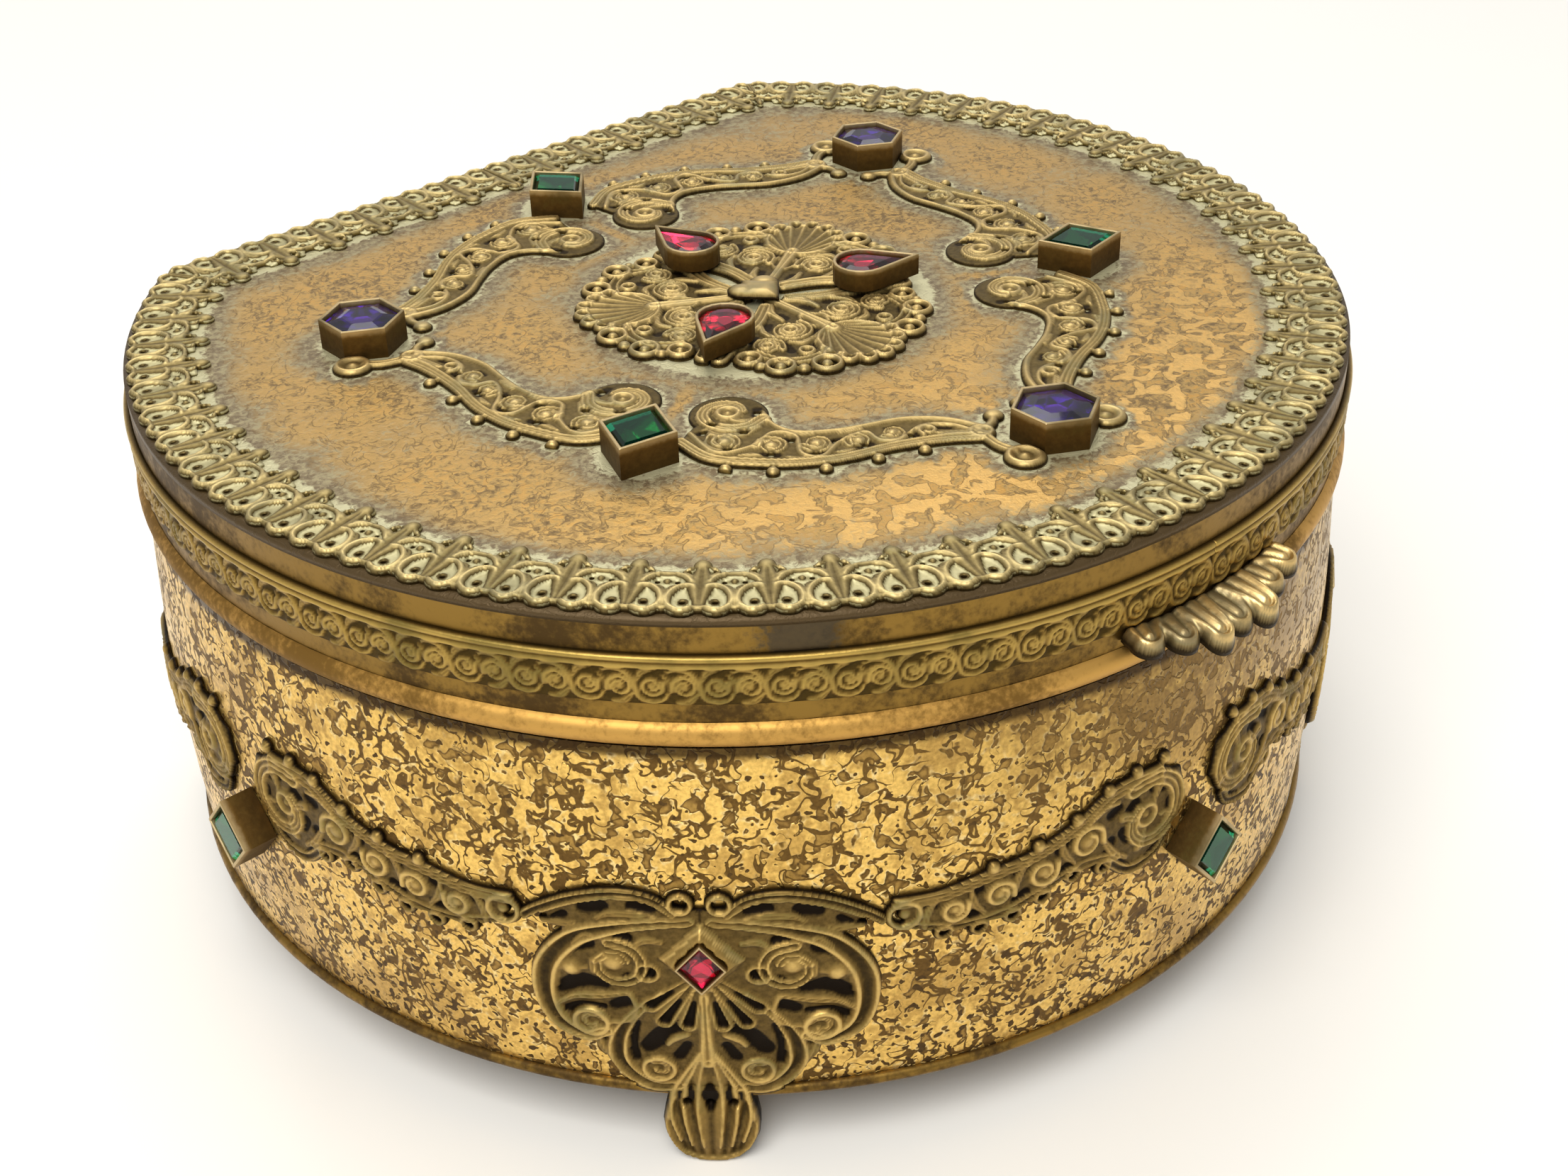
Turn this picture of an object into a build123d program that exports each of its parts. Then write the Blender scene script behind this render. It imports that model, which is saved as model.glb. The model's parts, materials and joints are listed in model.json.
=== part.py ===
from build123d import *
import math
import os

os.makedirs("parts", exist_ok=True)

# A gilt brass dresser box: round in front with a flat back, standing on four pierced feet,
# with a hinged lid, applied scrollwork and glass stones in box settings.
# Millimetres. X is the width, -Y the front with the thumb piece, +Z up, z = 0 the table.
# Offsets are measured outwards from the outline of the wall.

# Outline seen from above: a circle cut by a flat back with rounded corners
WALL_R = 82.0            # radius of the round wall
BACK_FLAT = 61.4         # from the circle's centre to the flat back
CORNER_R = 7.0           # rounding where the flat back meets the round wall
LEAST_CORNER = 0.8       # smallest rounding kept where an outline is drawn far inside
TURN = 90.0              # a quarter turn, in degrees
SOLDER = 0.05            # solder line behind every applied piece

# Box body
WALL_BOTTOM = 10.1       # the wall's lower edge above the table
WALL_H = 52.8            # height of the wall
WALL_T = 1.0             # thickness of the etched sheet
WALL_BULGE = 1.2         # swell of the wall at half height
BASE_T = 1.0             # thickness of the base plate
BASE_LIFT = 0.6          # base plate above the wall's lower edge
BEAD_H = 1.6             # height of the bead along the wall's foot
BEAD_OUT = 0.8           # how far that bead stands out
COLLAR_T = 0.9           # thickness of the inner collar that guides the lid
COLLAR_BELOW = 7.9       # how far the collar reaches down inside the wall
COLLAR_ABOVE = 3.6       # how far it stands above the wall

# Lid
SEAM_GAP = 0.3           # dark line between the wall and the lid
LID_H = 15.6             # height of the lid's band
BAND_T = 0.7             # thickness of the band's sheet
PLATE_T = 1.0            # thickness of the etched lid plate
LID_BEAD_H = 3.2         # height of the bright bead along the lid's lower edge
LID_BEAD_OUT = 1.0       # how far it stands out
FRIEZE_LIFT = 5.8        # scroll frieze above the lid's lower edge
FRIEZE_H = 4.6           # height of the frieze
FRIEZE_T = 0.5           # thickness of its stamped strip
FILLET_H = 0.9           # height of each of the two fillets above the frieze
FILLET_OUT = 0.6         # how far a fillet stands out

# Pierced border round the lid plate
BORDER_T = 1.1           # thickness of the pierced border
BORDER_EDGE = 1.0        # the border's band begins this far inside the outline
BORDER_W = 8.6           # width of that band
BORDER_PITCH = 7.8       # length of one motif
EYE_IN = 2.9             # centre of the large loop inside the outline
EYE_R = 2.3              # radius of the large loop
EYE_HOLE = 0.9           # radius of the hole in it
SLOT_IN = 6.4            # centre of the openings behind the loops, inside the outline
SLOT_R = 1.3             # radius of those openings
GAP_HOLE = 0.8           # radius of the hole between two loops
FINIAL_IN = 9.9          # centre of the finial on the inner edge, inside the outline
FINIAL_R = 1.5           # radius of the finial

# Ornament of the lid, laid out in thirds round its own centre
ORNAMENT_Y = -4.7        # centre of the ornament in front of the circle's centre
THIRD = 120.0            # angle between like stones
STONE_RING = 53.2        # radius on which the six-sided stones sit
LOZENGE_RING = 45.4      # radius on which the lozenge stones sit
PEAR_RING = 14.2         # radius on which the round ends of the pear stones sit
GARLAND_T = 1.0          # thickness of the garland strips
FAN_T = 1.2              # thickness of the pierced fans
FAN_GAP = 0.15           # half the gap between two fans
HEART_R = 4.2            # radius of the small plate over the fans' centre
HEART_T = 0.6            # thickness of that plate
CUT_ROUND = 0.15         # gap between ornament and a setting that passes through it

# Box settings: thin-walled cups with an open top
SETTING_TOP = 4.2        # rim of the lid's settings above the plate
SETTING_WALL = 0.6       # thickness of a setting's wall
SETTING_FLOOR = 0.5      # thickness of its floor
STONE_FIT = 0.05         # gap between a stone and its setting
HEX_R = 5.6              # a six-sided setting, centre to corner
LOZENGE_A = 6.0          # half length of a lid lozenge
LOZENGE_B = 5.0          # half width of a lid lozenge
PEAR_R = 3.9             # radius of a pear setting's round end
PEAR_L = 12.0            # length of a pear setting
STONE_CROWN = 0.8        # height of a stone's crown
STONE_GIRDLE = 0.3       # height of its girdle
STONE_SUNK = 0.15        # stone's table below the setting's rim
TABLE_SHARE = 0.62       # table of a stone against its girdle
CULET_SHARE = 0.3        # flat foot of a stone against its girdle

# Feet: pierced palmettes bent to the wall, ending in a toe
FOOT_AT = 45.0           # the feet stand this many degrees from the sides
FOOT_HALF = 20.8         # half the width of a foot, measured along the wall
FOOT_T = 1.4             # thickness of the pierced stamping
TOE_CLEAR = 0.5          # the thick toe ends this far below the wall
TOE_IN = 1.2             # the toe's thickness behind the wall's outline
TOE_OUT = 1.8            # the toe's thickness in front of it
TOE_FLAT = 2.6           # half width of the toe's flat bottom
RUBY_H = 33.8            # height of the foot's stone above the table
RUBY_A = 3.7             # half height of its setting
RUBY_B = 3.0             # half width of its setting
RUBY_DEPTH = 2.9         # depth of its setting

# Swags on the wall between the feet, with a lozenge stone in the middle of each pair
SWAG_T = 1.2             # thickness of the pierced strips
SWAG_L = 43.6            # length of a strip as drawn
SWAG_END = 2.8           # centre of the last ring before the strip's end
DROP_H = 33.1            # height of the wall's lozenge stones above the table
DROP_A = 5.4             # half height of their settings
DROP_B = 4.6             # half width of their settings
DROP_DEPTH = 4.6         # depth of their settings

# Thumb piece at the front of the lid: a ribbed leaf
THUMB_REACH = 8.0        # how far its tips stand out from the outline
THUMB_HALF = 15.0        # half its width
THUMB_T = 1.5            # thickness of the leaf
THUMB_LIFT = 4.0         # the leaf's root above the lid's lower edge
THUMB_SIDE_LOBES = 3     # ribbed lobes on each side of the middle one
THUMB_LOBE_R = 2.4       # radius of a lobe's tip
THUMB_FALL = 3.4         # the outermost lobes are this much shorter
THUMB_DROOP = 12.0       # the leaf leans down by this many degrees

# Hinge on the flat back
HINGE_L = 60.0           # length over the knuckles
KNUCKLES = 5             # knuckles in all, the odd ones on the box
KNUCKLE_R = 2.0          # outer radius of a knuckle
KNUCKLE_GAP = 0.3        # clearance of the knuckles from each other, the wall and the leaves
PIN_R = 1.0              # radius of the pin
PIN_FIT = 0.05           # radial clearance of the pin in the knuckles
LEAF_T = 0.8             # thickness of a leaf
BOX_LEAF_H = 8.0         # height of the leaf on the box
LID_LEAF_H = 5.4         # height of the leaf on the lid

# Lining: padded card covered in satin
PAD_T = 3.4              # thickness of the pad on the base
PAD_ROUND = 1.4          # rounding of a pad's edge
LINING_T = 1.2           # thickness of the covered card round the wall
LINING_GAP = 0.3         # gap round the soft pieces
LID_PAD_T = 3.0          # thickness of the pad under the lid

# Heights, angles and lengths that follow from the sizes above
WALL_TOP = WALL_BOTTOM + WALL_H
LID_BOTTOM = WALL_TOP + SEAM_GAP
PLATE_BOTTOM = LID_BOTTOM + LID_H
PLATE_TOP = PLATE_BOTTOM + PLATE_T
PAD_BOTTOM = WALL_BOTTOM + BASE_LIFT + BASE_T
TOE_TOP = WALL_BOTTOM - TOE_CLEAR
HINGE_Y = BACK_FLAT + KNUCKLE_R + KNUCKLE_GAP
HINGE_Z = WALL_TOP + SEAM_GAP / 2
CORNER_Y = BACK_FLAT - CORNER_R
CORNER_X = math.sqrt((WALL_R - CORNER_R) ** 2 - CORNER_Y ** 2)
CORNER_AT = math.degrees(math.atan2(CORNER_Y, CORNER_X))
ROUND_END = math.radians(TURN + CORNER_AT) * WALL_R
CORNER_END = ROUND_END + math.radians(TURN - CORNER_AT) * CORNER_R
HALF_WAY = CORNER_END + CORNER_X
FRONT_FOOT = math.radians(FOOT_AT) * WALL_R
REAR_FOOT = math.radians(2 * TURN - FOOT_AT) * WALL_R
LAY_DEPTH = 8.0          # ornament is pressed this deep through the wall's curve


def plan(offset):
    """The outline as a flat face, drawn the given distance outside the wall."""
    r = WALL_R + offset
    flat = BACK_FLAT + offset
    corner = max(CORNER_R + offset, LEAST_CORNER)
    ky = flat - corner
    kx = math.sqrt((r - corner) ** 2 - ky ** 2)
    start = math.degrees(math.atan2(ky, kx))
    middle = math.radians((start + TURN) / 2)
    meet = (r * math.cos(math.radians(start)), r * math.sin(math.radians(start)))
    bend = (kx + corner * math.cos(middle), ky + corner * math.sin(middle))
    right = ThreePointArc(meet, bend, (kx, flat))
    back = Line((kx, flat), (-kx, flat))
    left = ThreePointArc((-kx, flat), (-bend[0], bend[1]), (-meet[0], meet[1]))
    front = ThreePointArc((-meet[0], meet[1]), (0, -r), meet)
    return make_face(Curve() + [right, back, left, front])


def station(s, offset=0.0):
    """Point and outward angle at length s along the outline, counted from the front."""
    run = abs(s)
    if run <= ROUND_END:
        angle = math.degrees(run / WALL_R) - TURN
        x = (WALL_R + offset) * math.cos(math.radians(angle))
        y = (WALL_R + offset) * math.sin(math.radians(angle))
    elif run <= CORNER_END:
        angle = CORNER_AT + math.degrees((run - ROUND_END) / CORNER_R)
        x = CORNER_X + (CORNER_R + offset) * math.cos(math.radians(angle))
        y = CORNER_Y + (CORNER_R + offset) * math.sin(math.radians(angle))
    else:
        angle = TURN
        x = HALF_WAY - run
        y = BACK_FLAT + offset
    if s < 0:
        x = -x
        angle = 2 * TURN - angle
    return x, y, angle


def round_stretch(profile):
    """A profile, drawn as offset and height, carried along the round wall."""
    standing = Rot(0, 0, 2 * TURN - CORNER_AT) * Pos(WALL_R, 0, 0) * (Plane.XZ * profile)
    return revolve(standing, Axis.Z, 2 * (TURN + CORNER_AT))


def corner_stretch(profile):
    """The profile carried round the right rear corner."""
    standing = Pos(CORNER_X, CORNER_Y, 0) * Rot(0, 0, CORNER_AT) * Pos(CORNER_R, 0, 0)
    axis = Axis((CORNER_X, CORNER_Y, 0), (0, 0, 1))
    return revolve(standing * (Plane.XZ * profile), axis, TURN - CORNER_AT)


def flat_stretch(profile):
    """The profile carried along the flat back."""
    end = Plane(origin=(-CORNER_X, BACK_FLAT, 0), x_dir=(0, 1, 0), z_dir=(1, 0, 0))
    return extrude(end * profile, 2 * CORNER_X)


def run_round(profile):
    """The profile carried once round the outline."""
    corner = corner_stretch(profile)
    return round_stretch(profile) + [corner, mirror(corner, Plane.YZ), flat_stretch(profile)]


def swell(z):
    """How far the wall stands out from its outline at a height."""
    half = WALL_H / 2
    radius = (half ** 2 + WALL_BULGE ** 2) / (2 * WALL_BULGE)
    return math.sqrt(radius ** 2 - (z - WALL_BOTTOM - half) ** 2) - radius + WALL_BULGE


def swollen(inner, outer, low, high):
    """Profile between two lines that swell as the wall does."""
    middle = (low + high) / 2
    out = ThreePointArc(
        (outer + swell(low), low), (outer + swell(middle), middle), (outer + swell(high), high)
    )
    back = ThreePointArc(
        (inner + swell(high), high), (inner + swell(middle), middle), (inner + swell(low), low)
    )
    return make_face(Curve() + [out, Line(out @ 1, back @ 0), back, Line(back @ 1, out @ 0)])


def block(inner, outer, low, high):
    """Rectangular profile between two offsets and two heights."""
    size = Rectangle(outer - inner, high - low, align=(Align.MIN, Align.MIN))
    return Pos(inner, low) * size


def half_round(base, out, low, height):
    """Half-round profile that stands out from a base offset."""
    arc = ThreePointArc((base, low), (base + out, low + height / 2), (base, low + height))
    return make_face(Curve() + [arc, Line(arc @ 1, arc @ 0)])


def strip(points, widths):
    """A flat strip along a smooth line, its width changing along it."""
    line = Spline(*points)
    steps = 3 * (len(points) - 1)
    left = []
    right = []
    for i in range(steps + 1):
        share = i / steps
        place = share * (len(widths) - 1)
        first = min(int(place), len(widths) - 2)
        width = widths[first] + (widths[first + 1] - widths[first]) * (place - first)
        along = line % share
        across = Vector(-along.Y, along.X) * (width / 2)
        left.append(line @ share + across)
        right.append(line @ share - across)
    one = Spline(*left)
    other = Spline(*reversed(right))
    return make_face(Curve() + [one, Line(one @ 1, other @ 0), other, Line(other @ 1, one @ 0)])


def ring(x, y, outer, inner):
    """A flat ring."""
    return Pos(x, y) * (Circle(outer) - Circle(inner))


def disc(x, y, radius):
    """A flat disc."""
    return Pos(x, y) * Circle(radius)


def volute(x, y, radius, width, start, hand):
    """A scroll that curls in to a disc at its heart, from the angle start, in degrees."""
    heart = 0.34 * radius
    turns = 1.2
    steps = 9
    points = []
    for i in range(steps + 1):
        share = i / steps
        angle = math.radians(start + hand * 4 * TURN * turns * share)
        r = (radius - width / 2) * (1 - share) + heart * share
        points.append((x + r * math.cos(angle), y + r * math.sin(angle)))
    return [strip(points, [width, 0.6 * width]), disc(x, y, heart)]


def joined(pieces):
    """Flat pieces joined into one drawing."""
    return Sketch() + pieces


def both_sides(pieces):
    """Flat pieces and their mirror images joined into one drawing."""
    return Sketch() + (pieces + [mirror(piece, Plane.YZ) for piece in pieces])


def hexagon(share=1.0):
    """Six-sided outline with a corner along Y, at a share of its size."""
    return Rot(0, 0, TURN / 3) * RegularPolygon(HEX_R * share, 6)


def lozenge(a, b):
    """Lozenge outline, half length a along Y and half width b along X."""
    return make_face(Polyline((0, a), (-b, 0), (0, -a), (b, 0), close=True))


def pear(share=1.0):
    """Pear outline: round end about the origin, point along +Y, at a share of its size."""
    radius = PEAR_R * share
    tip = PEAR_L * share - radius
    touch = math.asin(radius / tip)
    x = radius * math.cos(touch)
    y = radius * math.sin(touch)
    round_end = ThreePointArc((x, y), (0, -radius), (-x, y))
    return make_face(Curve() + [round_end, Line((-x, y), (0, tip)), Line((0, tip), (x, y))])


def lozenge_of(a, b):
    """A function that draws a lozenge at a share of its size."""
    return lambda share: lozenge(a * share, b * share)


def lozenge_reach(a, b):
    """Distance from a lozenge's centre to its sides."""
    return a * b / math.hypot(a, b)


def jewel(outline, reach, height):
    """A box setting and its stone; outline draws the setting at a share of its size."""
    cup = extrude(outline(1.0), height)
    cup -= Pos(0, 0, SETTING_FLOOR) * extrude(outline(1 - SETTING_WALL / reach), height)
    widest = 1 - (SETTING_WALL + STONE_FIT) / reach
    top = height - STONE_SUNK
    girdle_top = top - STONE_CROWN
    levels = (
        (SETTING_FLOOR, CULET_SHARE),
        (girdle_top - STONE_GIRDLE, 1.0),
        (girdle_top, 1.0),
        (top, TABLE_SHARE),
    )
    stone = loft([Pos(0, 0, z) * outline(widest * share) for z, share in levels], ruled=True)
    return cup, stone


def lay_on_wall(drawing, s, profile):
    """Bend a drawing to the wall within a profile; its x runs along the outline from s."""
    reach = drawing.bounding_box()
    stretches = (
        (-ROUND_END, ROUND_END, round_stretch),
        (ROUND_END, CORNER_END, corner_stretch),
        (CORNER_END, HALF_WAY + CORNER_X, flat_stretch),
    )
    laid = []
    for start, end, stretch in stretches:
        first = max(start, s + reach.min.X)
        last = min(end, s + reach.max.X)
        if last > first:
            middle = (first + last) / 2
            window = Rectangle(last - first + 2 * LAY_DEPTH, 2 * reach.size.Y)
            part = drawing & (Pos(middle - s, reach.center().Y) * window)
            flat = wall_place(middle, 0, -LAY_DEPTH) * (Pos(s - middle, 0) * part)
            laid.append(extrude(flat, 2 * LAY_DEPTH) & stretch(profile))
    return laid[0] + laid[1:] if len(laid) > 1 else laid[0]


def wall_place(s, z, offset):
    """A place on the wall facing out, with its own Y upwards."""
    x, y, angle = station(s, offset)
    out = (math.cos(math.radians(angle)), math.sin(math.radians(angle)), 0)
    return Plane(origin=(x, y, z), x_dir=(-out[1], out[0], 0), z_dir=out)


def lid_place(radius, angle, z):
    """A place on the lid facing up, with its own Y away from the ornament's centre."""
    return Pos(0, ORNAMENT_Y, z) * Rot(0, 0, angle - TURN) * Pos(0, radius, 0)


def foot_drawing():
    """Palmette of scrolls with a fan below the stone and a flared toe; y is the height."""
    half = [
        ring(2.2, 42.0, 1.6, 0.7),
        strip([(3.0, 41.6), (6.0, 43.0), (10.5, 42.6), (15.5, 40.8), (20.6, 38.2)], [1.4, 2.0, 1.6]),
        strip([(1.2, 39.8), (5.0, 39.4), (10.0, 38.6), (15.0, 35.8), (18.6, 31.2), (19.8, 26.0),
               (18.8, 21.6), (15.6, 19.4), (12.6, 20.8)], [2.0, 2.4, 2.6, 2.2, 1.5]),
        strip([(3.4, 40.6), (4.4, 41.8), (4.6, 42.9)], [1.2, 1.2]),
        strip([(12.4, 38.4), (13.4, 40.0), (13.6, 41.6)], [1.4, 1.2]),
        strip([(17.2, 34.6), (18.6, 36.6), (19.8, 38.4)], [1.8, 1.4]),
        disc(15.5, 27.0, 1.3),
        strip([(14.4, 29.6), (15.5, 27.2), (17.8, 25.0), (19.4, 24.4)], [1.2, 1.6, 1.2]),
        ring(14.0, 22.0, 2.6, 1.0),
        strip([(5.4, 24.2), (8.4, 24.8), (11.6, 23.4), (13.2, 21.2)], [1.4, 1.8, 1.4]),
        strip([(8.0, 28.6), (6.6, 26.4), (5.2, 24.6)], [1.4, 1.4]),
        strip([(13.6, 20.4), (12.6, 16.4), (10.0, 12.8), (6.4, 11.4), (3.4, 12.6)], [1.6, 2.2, 1.4]),
        ring(6.0, 15.2, 2.3, 0.9),
        strip([(2.0, 22.0), (4.6, 20.6), (6.2, 17.2)], [1.6, 1.6]),
        strip([(4.0, 35.6), (5.8, 34.4), (7.0, 33.0)], [1.4, 1.4]),
    ]
    half += volute(10.0, 32.0, 4.4, 1.4, 80, 1)
    half.append(strip([(9.6, 35.8), (10.4, 37.2), (11.0, 38.6)], [1.6, 1.6]))
    fan = []
    for i in range(-2, 3):
        lean = math.radians(16 * i)
        tip = (9.2 * math.sin(lean), 31.6 - 9.2 * math.cos(lean))
        root = (1.4 * math.sin(lean), 31.6 - 1.4 * math.cos(lean))
        fan.append(strip([root, ((root[0] + tip[0]) / 2, (root[1] + tip[1]) / 2), tip], [1.0, 2.2]))
        fan.append(disc(tip[0], tip[1], 1.5))
    stem = strip([(0, 23.5), (0, 20.0), (0, 15.0)], [3.0, 2.2, 3.4])
    backing = Pos(0, RUBY_H) * lozenge(RUBY_A + 0.5, RUBY_B + 1.2)
    upper = [strip([(0, 36.0), (0, 38.4), (0, 40.8)], [2.4, 2.4]), stem, backing]
    side = Spline((1.6, 16.4), (3.2, 11.4), (5.8, 7.0))
    curl = ThreePointArc((5.8, 7.0), (5.0, 2.6), (TOE_FLAT, 0))
    top = Line((-1.6, 16.4), (1.6, 16.4))
    bottom = Line((TOE_FLAT, 0), (-TOE_FLAT, 0))
    edges = [top, side, curl, bottom, mirror(curl, Plane.YZ), mirror(side, Plane.YZ)]
    toe = make_face(Curve() + edges)
    holes = [disc(x, 9.8, 0.7) for x in (-2.4, 0, 2.4)]
    return both_sides(half) + fan + upper + toe - holes


def swag_drawing(length):
    """One strip of scrolls from the stone at x = 0 out to a foot; y is the height."""
    k = length / SWAG_L
    pieces = [
        strip([(7.6 * k, 47.0), (14.0 * k, 46.8), (19.0 * k, 44.2), (25.0 * k, 42.0), (31.0 * k, 41.0),
               (37.0 * k, 39.8), (42.0 * k, 39.9)], [1.8, 1.6, 1.8]),
        strip([(14.4 * k, 37.6), (19.0 * k, 38.2), (24.0 * k, 36.6), (29.0 * k, 34.8), (35.0 * k, 34.6),
               (42.0 * k, 36.2)], [1.6, 1.8, 1.6]),
        ring(length - SWAG_END, 38.0, 2.4, 1.0),
        strip([(5.2 * k, 37.0), (6.8 * k, 34.0), (11.6 * k, 33.6), (15.4 * k, 37.4)], [1.4, 2.0, 1.6]),
    ]
    for x, y, r in ((18.2, 41.2, 2.9), (24.2, 39.3, 2.6), (29.8, 37.9, 2.9), (35.4, 37.2, 2.6)):
        pieces.append(ring(x * k, y, r, 0.45 * r))
    for x, y in ((6.4, 48.6), (10.8, 48.4), (15.0, 47.4), (19.4, 45.0), (24.6, 43.2), (30.4, 42.1)):
        pieces.append(disc(x * k, y, 1.0))
    pieces += volute(8.6 * k, 41.0, 7.0, 2.0, 90, 1)
    reach = lozenge_reach(DROP_A, DROP_B)
    grown = 1 + CUT_ROUND / reach
    return joined(pieces) - Pos(0, DROP_H) * lozenge(DROP_A * grown, DROP_B * grown)


def garland_drawing():
    """One strip of scrolls on the lid, from beside a lozenge stone to a six-sided one."""
    pieces = [
        strip([(3.6, 41.6), (8.5, 44.4), (14.6, 43.8), (19.3, 42.4), (23.9, 39.8), (28.5, 35.8),
               (33.7, 32.4), (38.0, 30.6)], [1.8, 1.6, 1.6, 2.0]),
        strip([(10.6, 30.8), (12.8, 34.0), (16.4, 35.6), (20.4, 34.2), (24.0, 31.8), (28.0, 28.8),
               (33.1, 27.5), (38.5, 28.4)], [1.6, 1.6, 1.6, 2.0]),
        strip([(6.4, 42.4), (10.6, 39.6), (15.0, 39.8), (20.0, 38.6), (25.0, 34.6), (30.0, 31.2),
               (36.0, 30.0)], [1.6, 2.0, 1.8, 2.2]),
        ring(6.0, 40.4, 2.6, 1.2),
        ring(12.4, 37.0, 2.5, 1.2),
        ring(19.8, 36.2, 2.2, 1.0),
        ring(26.8, 31.0, 2.3, 1.0),
        disc(37.6, 29.6, 2.0),
        strip([(37.6, 29.6), (40.4, 32.4), (43.0, 33.4)], [2.4, 1.8, 2.0]),
        ring(44.1, 33.8, 2.7, 1.1),
        strip([(37.4, 29.0), (38.6, 27.0), (38.4, 25.0)], [2.0, 1.4]),
        disc(38.2, 24.8, 1.3),
    ]
    for root, tip in (
        ((10.6, 39.9), (11.2, 44.0)),
        ((15.6, 39.8), (16.6, 43.0)),
        ((20.6, 38.4), (22.2, 40.6)),
        ((25.2, 34.8), (27.6, 36.6)),
        ((30.0, 31.4), (31.8, 33.2)),
    ):
        middle = ((root[0] + tip[0]) / 2, (root[1] + tip[1]) / 2)
        pieces.append(strip([root, middle, tip], [1.2, 1.6]))
    for x, y in ((11.0, 45.0), (16.2, 44.1), (21.8, 41.8), (27.0, 37.8), (32.2, 34.2)):
        pieces.append(disc(x, y, 1.0))
    pieces += volute(7.0, 33.3, 5.3, 1.7, 30, 1)
    pieces.append(strip([(5.6, 38.2), (6.6, 38.6), (9.6, 37.0), (10.6, 34.6)], [1.2, 1.4, 1.4]))
    grown = 1 + CUT_ROUND / lozenge_reach(LOZENGE_A, LOZENGE_B)
    seat = math.radians(THIRD / 2)
    six = Pos(STONE_RING * math.sin(seat), STONE_RING * math.cos(seat)) * Rot(0, 0, -THIRD / 2)
    clear_six = six * hexagon(1 + CUT_ROUND / HEX_R)
    clear_lozenge = Pos(0, LOZENGE_RING) * lozenge(LOZENGE_A * grown, LOZENGE_B * grown)
    return joined(pieces) - clear_lozenge - clear_six


def fan_drawing():
    """One third of the rosette: a scalloped shell on ribs, with rings at its sides."""
    half = [
        ring(7.4, 21.3, 2.2, 0.9),
        ring(12.3, 17.8, 2.2, 0.9),
        ring(13.6, 13.2, 2.0, 0.8),
        strip([(5.0, 19.0), (8.4, 18.8), (11.4, 16.6), (12.4, 12.6)], [1.4, 2.0, 1.4]),
        strip([(2.2, 3.4), (6.2, 6.4), (11.0, 8.2), (17.0, 11.0)], [2.4, 3.0, 3.0]),
        strip([(1.0, 3.0), (2.6, 6.2), (3.2, 9.6)], [1.6, 1.4]),
        strip([(6.6, 7.0), (8.6, 10.4), (11.8, 13.0)], [1.4, 1.4]),
        strip([(7.6, 13.4), (9.2, 14.8), (10.8, 16.6)], [1.4, 1.4]),
    ]
    half += volute(4.7, 12.0, 3.3, 1.1, 200, -1)
    middle = [strip([(0, 2.0), (0, 8.0), (0, 14.5)], [2.6, 1.8, 2.4]), disc(0, 18.8, 5.4)]
    for i in range(-3, 4):
        lean = math.radians(26 * i)
        middle.append(disc(5.4 * math.sin(lean), 18.8 + 5.4 * math.cos(lean), 1.35))
    side = THIRD / 2
    far = 2 * STONE_RING
    edge = (far * math.sin(math.radians(side)), far * math.cos(math.radians(side)))
    sector = make_face(Polyline((0, 0), edge, (0, 2 * far), (-edge[0], edge[1]), close=True))
    slack = FAN_GAP / math.sin(math.radians(side))
    return (both_sides(half) + middle) & (Pos(0, slack) * sector)


def border_drawing():
    """Openwork band round the lid: a loop with an eye per motif and a finial inside it."""
    count = 2 * round(HALF_WAY / BORDER_PITCH)
    added = []
    holes = []
    for i in range(count):
        s = (i - count / 2) * 2 * HALF_WAY / count
        half_on = s + HALF_WAY / count
        for place, inside, radius, kind in (
            (s, EYE_IN, EYE_R, added),
            (s, EYE_IN, EYE_HOLE, holes),
            (half_on, BORDER_EDGE, GAP_HOLE, added),
            (half_on, EYE_IN, GAP_HOLE, holes),
            (half_on, SLOT_IN, SLOT_R, holes),
            (s, SLOT_IN, GAP_HOLE, holes),
            (s, FINIAL_IN, FINIAL_R, added),
        ):
            x, y, angle = station(place, -inside)
            kind.append(disc(x, y, radius))
    band = plan(-BORDER_EDGE) - plan(-BORDER_EDGE - BORDER_W)
    return band + added - holes


def thumb_drawing():
    """Leaf of rounded lobes seen from above, its root at the origin, pointing to -Y."""
    lobes = []
    for i in range(-THUMB_SIDE_LOBES, THUMB_SIDE_LOBES + 1):
        share = i / THUMB_SIDE_LOBES
        tip_x = share * (THUMB_HALF - THUMB_LOBE_R)
        tip_y = THUMB_LOBE_R - THUMB_REACH + THUMB_FALL * share ** 2
        root = (tip_x * 0.8, THUMB_LOBE_R)
        middle = (tip_x * 0.92, (tip_y + THUMB_LOBE_R) / 2)
        lobes.append(strip([root, middle, (tip_x, tip_y)], [THUMB_LOBE_R * 2, THUMB_LOBE_R * 1.9]))
        lobes.append(disc(tip_x, tip_y, THUMB_LOBE_R))
    return joined(lobes)


def knuckle_row(first):
    """Every second knuckle of the hinge, as solid rods, starting with the first or second."""
    pitch = (HINGE_L + KNUCKLE_GAP) / KNUCKLES
    rods = []
    for i in range(first, KNUCKLES, 2):
        x = -HINGE_L / 2 + i * pitch
        rod = Cylinder(KNUCKLE_R, pitch - KNUCKLE_GAP, align=(Align.CENTER, Align.CENTER, Align.MIN))
        rods.append(Pos(x, HINGE_Y, HINGE_Z) * Rot(0, TURN, 0) * rod)
    return rods


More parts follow.
